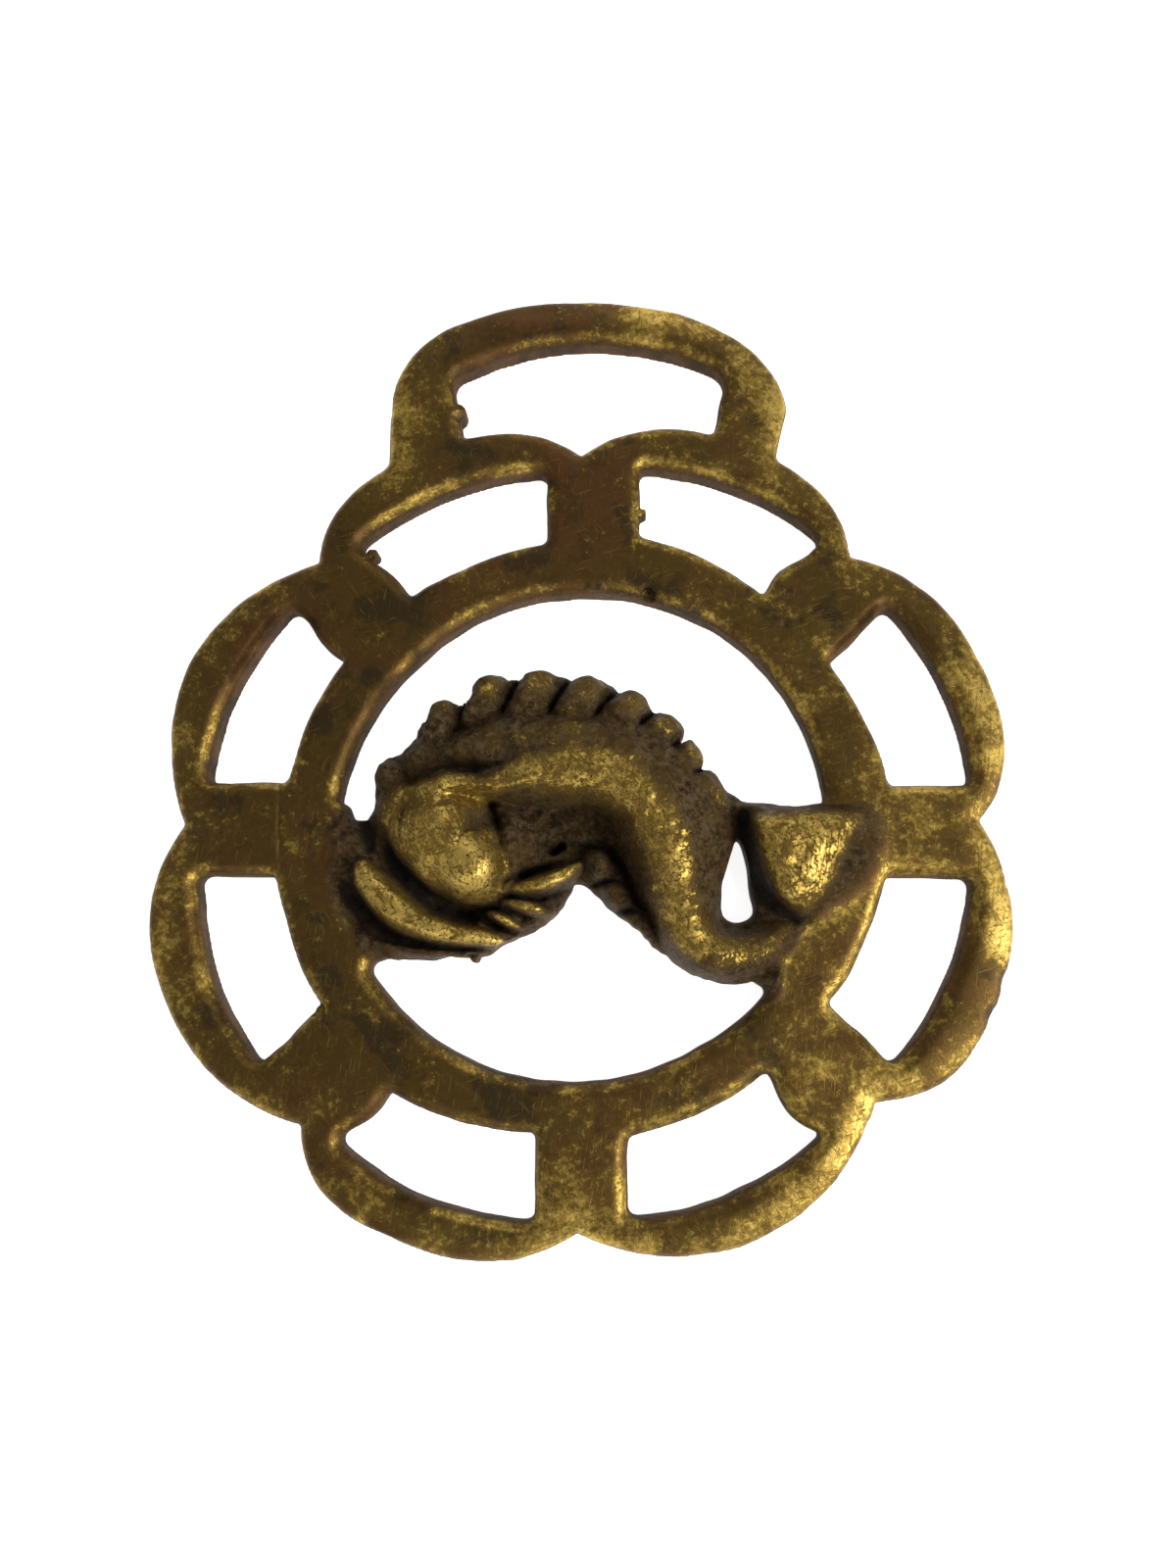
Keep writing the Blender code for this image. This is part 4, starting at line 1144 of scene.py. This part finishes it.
def aged_brass():
    """Brown patina on cast brass, rubbed through to bright metal where the masks say so."""
    n = Nodes("aged_brass")
    # Painted shade and grime in the grooves and pits comes in as a mask
    polish, shade_and_grime = n.attribute("polish"), n.attribute("shade_and_grime")
    figure, wall, warm = n.attribute("figure"), n.attribute("wall"), n.attribute("warm")

    cloud, mottle, grit, specks = n.noise(*CLOUD), n.noise(*MOTTLE), n.noise(*GRIT), n.noise(*SPECKS)
    scratches = [n.noise(*SCRATCH, shift, SCRATCH_STRETCH, turn) for turn, shift in SCRATCH_WAYS]
    streaks = n.math("MAXIMUM", n.math("MAXIMUM", scratches[0], scratches[1]), scratches[2])

    # The patina, with its crust on the figure
    blotch = n.noise(*BLOTCH)
    patina = n.colour(n.math("MAXIMUM", n.mask(cloud, 0.44, 0.62, 0.7), warm), OLIVE_BROWN, RED_BROWN)
    patina = n.colour(n.mask(mottle, 0.46, 0.64, 0.6), patina, DARK_BROWN)
    patina = n.colour(n.mask(blotch, 0.54, 0.62, 0.65), patina, SLATE_BROWN)
    crust = n.colour(n.ramp(grit, 0.40, 0.62), GREY_BROWN, DARK_BROWN)
    crust = n.colour(n.mask(specks, 0.57, 0.66, 0.8), crust, PALE_CRUST)
    patina = n.colour(n.mask(mottle, 0.3, 0.55, figure), patina, crust)
    patina = n.colour(n.mask(streaks, 0.66, 0.71, 0.5), patina, THIN_PATINA)

    # The brass, where polish and the patterns together rub through the patina
    drift = n.math("ADD", n.swing(mottle, 1.3), n.swing(cloud, 0.7))
    broken = n.swing(grit, n.number(figure, 1.9, 2.1))
    unscratched = n.math("SUBTRACT", STREAK_MIDDLE, streaks)
    broken = n.math("ADD", broken, n.math("MULTIPLY", unscratched, n.number(figure, 0.7, 1.5)))
    rubbed = n.math("ADD", polish, drift)
    worn = n.math("ADD", rubbed, broken)
    thin = n.ramp(n.math("ADD", rubbed, n.math("MULTIPLY", broken, 0.35)), 0.08, 0.70)
    gold = n.ramp(worn, n.number(figure, 0.43, 0.45), n.number(figure, 0.57, 0.53))
    bright = n.ramp(worn, 0.60, 0.95)
    colour = n.colour(thin, patina, THIN_PATINA)
    colour = n.colour(gold, colour, OLD_GOLD)
    colour = n.colour(bright, colour, WORN_BRASS)

    # Dark marks on the brass
    dots = n.ramp(specks, n.number(figure, 0.61, 0.565), n.number(figure, 0.66, 0.615))
    marks = n.math("MULTIPLY", n.math("MAXIMUM", n.mask(streaks, 0.62, 0.66, 0.6), dots), gold)
    colour = n.colour(n.math("MULTIPLY", marks, n.number(figure, 0.35, 0.85)), colour, DARK_BROWN)

    # Painted shade and grime in the hollows, and a darker, redder tint on the walls
    hollow_tint = n.colour(n.ramp(grit, 0.34, 0.54), RED_BROWN, DARK_BROWN)
    hollow_tint = n.colour(n.mask(mottle, 0.50, 0.62, 0.6), hollow_tint, BLACK_SHADE_AND_GRIME)
    hollow_tint = n.colour(n.mask(specks, 0.56, 0.64, 0.6), hollow_tint, GREY_BROWN)
    colour = n.colour(n.math("MULTIPLY", shade_and_grime, 0.9), colour, hollow_tint)
    # The deepest hollows are painted black as shade, with grime
    colour = n.colour(n.mask(shade_and_grime, 0.6, 1.0, 0.8), colour, BLACK_SHADE_AND_GRIME)
    wall_tint = n.colour(n.ramp(mottle, 0.4, 0.65), RED_BROWN, DARK_BROWN)
    colour = n.colour(n.math("MULTIPLY", wall, 0.75), colour, wall_tint)

    # Places painted dark: the painted shade and grime of the hollows, and the darker walls
    darkened = n.math("MAXIMUM", shade_and_grime, wall)
    dull_figure = n.math("MULTIPLY", figure, n.math("SUBTRACT", 1.0, gold))
    roughness = n.number(n.ramp(polish, CRUSTED, 0.05), CRUST_ROUGHNESS, n.number(thin, 0.52, 0.47))
    roughness = n.number(gold, roughness, GOLD_ROUGHNESS)
    roughness = n.math("ADD", n.swing(mottle, 0.35), roughness)
    matt = n.math("MAXIMUM", darkened, n.math("MULTIPLY", dull_figure, 0.7))
    roughness = n.number(matt, roughness, GRIME_ROUGHNESS)
    roughness = n.math("ADD", roughness, n.swing(grit, 0.25))
    metallic = n.number(darkened, n.number(thin, 0.80, 1.0), GRIME_METALLIC)

    # Fine bumps, in millimetres
    grain = n.noise(*GRAIN)
    coarse = n.math("MAXIMUM", darkened, dull_figure)
    height = n.math("MULTIPLY", grain, n.number(coarse, 0.012, 0.20))
    height = n.math("ADD", height, n.math("MULTIPLY", grit, n.number(coarse, 0.020, 0.36)))
    height = n.math("SUBTRACT", height, n.math("MULTIPLY", marks, 0.035))
    height = n.math("SUBTRACT", height, n.mask(streaks, 0.60, 0.70, 0.012))
    bump = n.add("ShaderNodeBump", {"Height": height, "Strength": 1.0, "Distance": MM})

    for socket, value in (("Base Color", colour), ("Roughness", roughness), ("Metallic", metallic),
                          ("Specular IOR Level", SPECULAR), ("Normal", bump.outputs["Normal"])):
        n.feed(n.shader.inputs[socket], value)
    return n.material


def floor():
    """A table of milk glass, lit a little from below, so the shadows on it stay faint."""
    bpy.ops.mesh.primitive_plane_add(size=FLOOR_SIZE)
    made = bpy.context.object
    made.name = "floor"
    glass = Nodes("milk_glass")
    glass.shader.inputs["Base Color"].default_value = FLOOR_WHITE
    glass.shader.inputs["Roughness"].default_value = FLOOR_ROUGHNESS
    glass.shader.inputs["Emission Color"].default_value = WHITE
    glass.shader.inputs["Emission Strength"].default_value = FLOOR_GLOW
    made.data.materials.append(glass.material)


def light(name, place, size, power):
    """A soft square light that faces the piece."""
    data = bpy.data.lights.new(name, "AREA")
    data.shape = "SQUARE"
    data.size = size
    data.energy = power
    lamp = bpy.data.objects.new(name, data)
    lamp.location = place
    lamp.rotation_mode = "QUATERNION"
    lamp.rotation_quaternion = (-Vector(place)).to_track_quat("-Z", "Y")
    bpy.context.scene.collection.objects.link(lamp)


def studio():
    """Large soft lights round the piece and none over it, so its flat face stays dark."""
    floor()
    for lamp in LIGHTS:
        light(*lamp)
    world = bpy.data.worlds.new("studio")
    world.use_nodes = True
    background = world.node_tree.nodes["Background"]
    background.inputs["Color"].default_value = WHITE
    background.inputs["Strength"].default_value = WORLD_STRENGTH
    bpy.context.scene.world = world
    bpy.context.scene.view_settings.view_transform = "Standard"


def camera():
    """Looks down on the piece as the photograph does."""
    turn = Matrix.Rotation(math.radians(CAMERA_TURN), 3, "Z")
    tilt, roll = math.radians(CAMERA_TILT), math.radians(CAMERA_ROLL)
    level_up = Vector((0, math.cos(tilt), math.sin(tilt)))
    forward = Vector((0, math.sin(tilt), -math.cos(tilt)))
    right = turn @ (math.cos(roll) * Vector((1, 0, 0)) + math.sin(roll) * level_up)
    up = turn @ (math.cos(roll) * level_up - math.sin(roll) * Vector((1, 0, 0)))
    back = turn @ -forward
    data = bpy.data.cameras.new("camera")
    data.lens = CAMERA_LENS
    data.sensor_width = CAMERA_SENSOR
    data.clip_start = MM
    made = bpy.data.objects.new("camera", data)
    made.rotation_mode = "QUATERNION"
    made.rotation_quaternion = Matrix((right, up, back)).transposed().to_quaternion()
    made.location = Vector(CAMERA_AT) * MM
    bpy.context.scene.collection.objects.link(made)
    bpy.context.scene.camera = made


camera()
piece = casting()
piece.data.materials.append(aged_brass())
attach(piece, "root")
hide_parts("horse_brass")
studio()
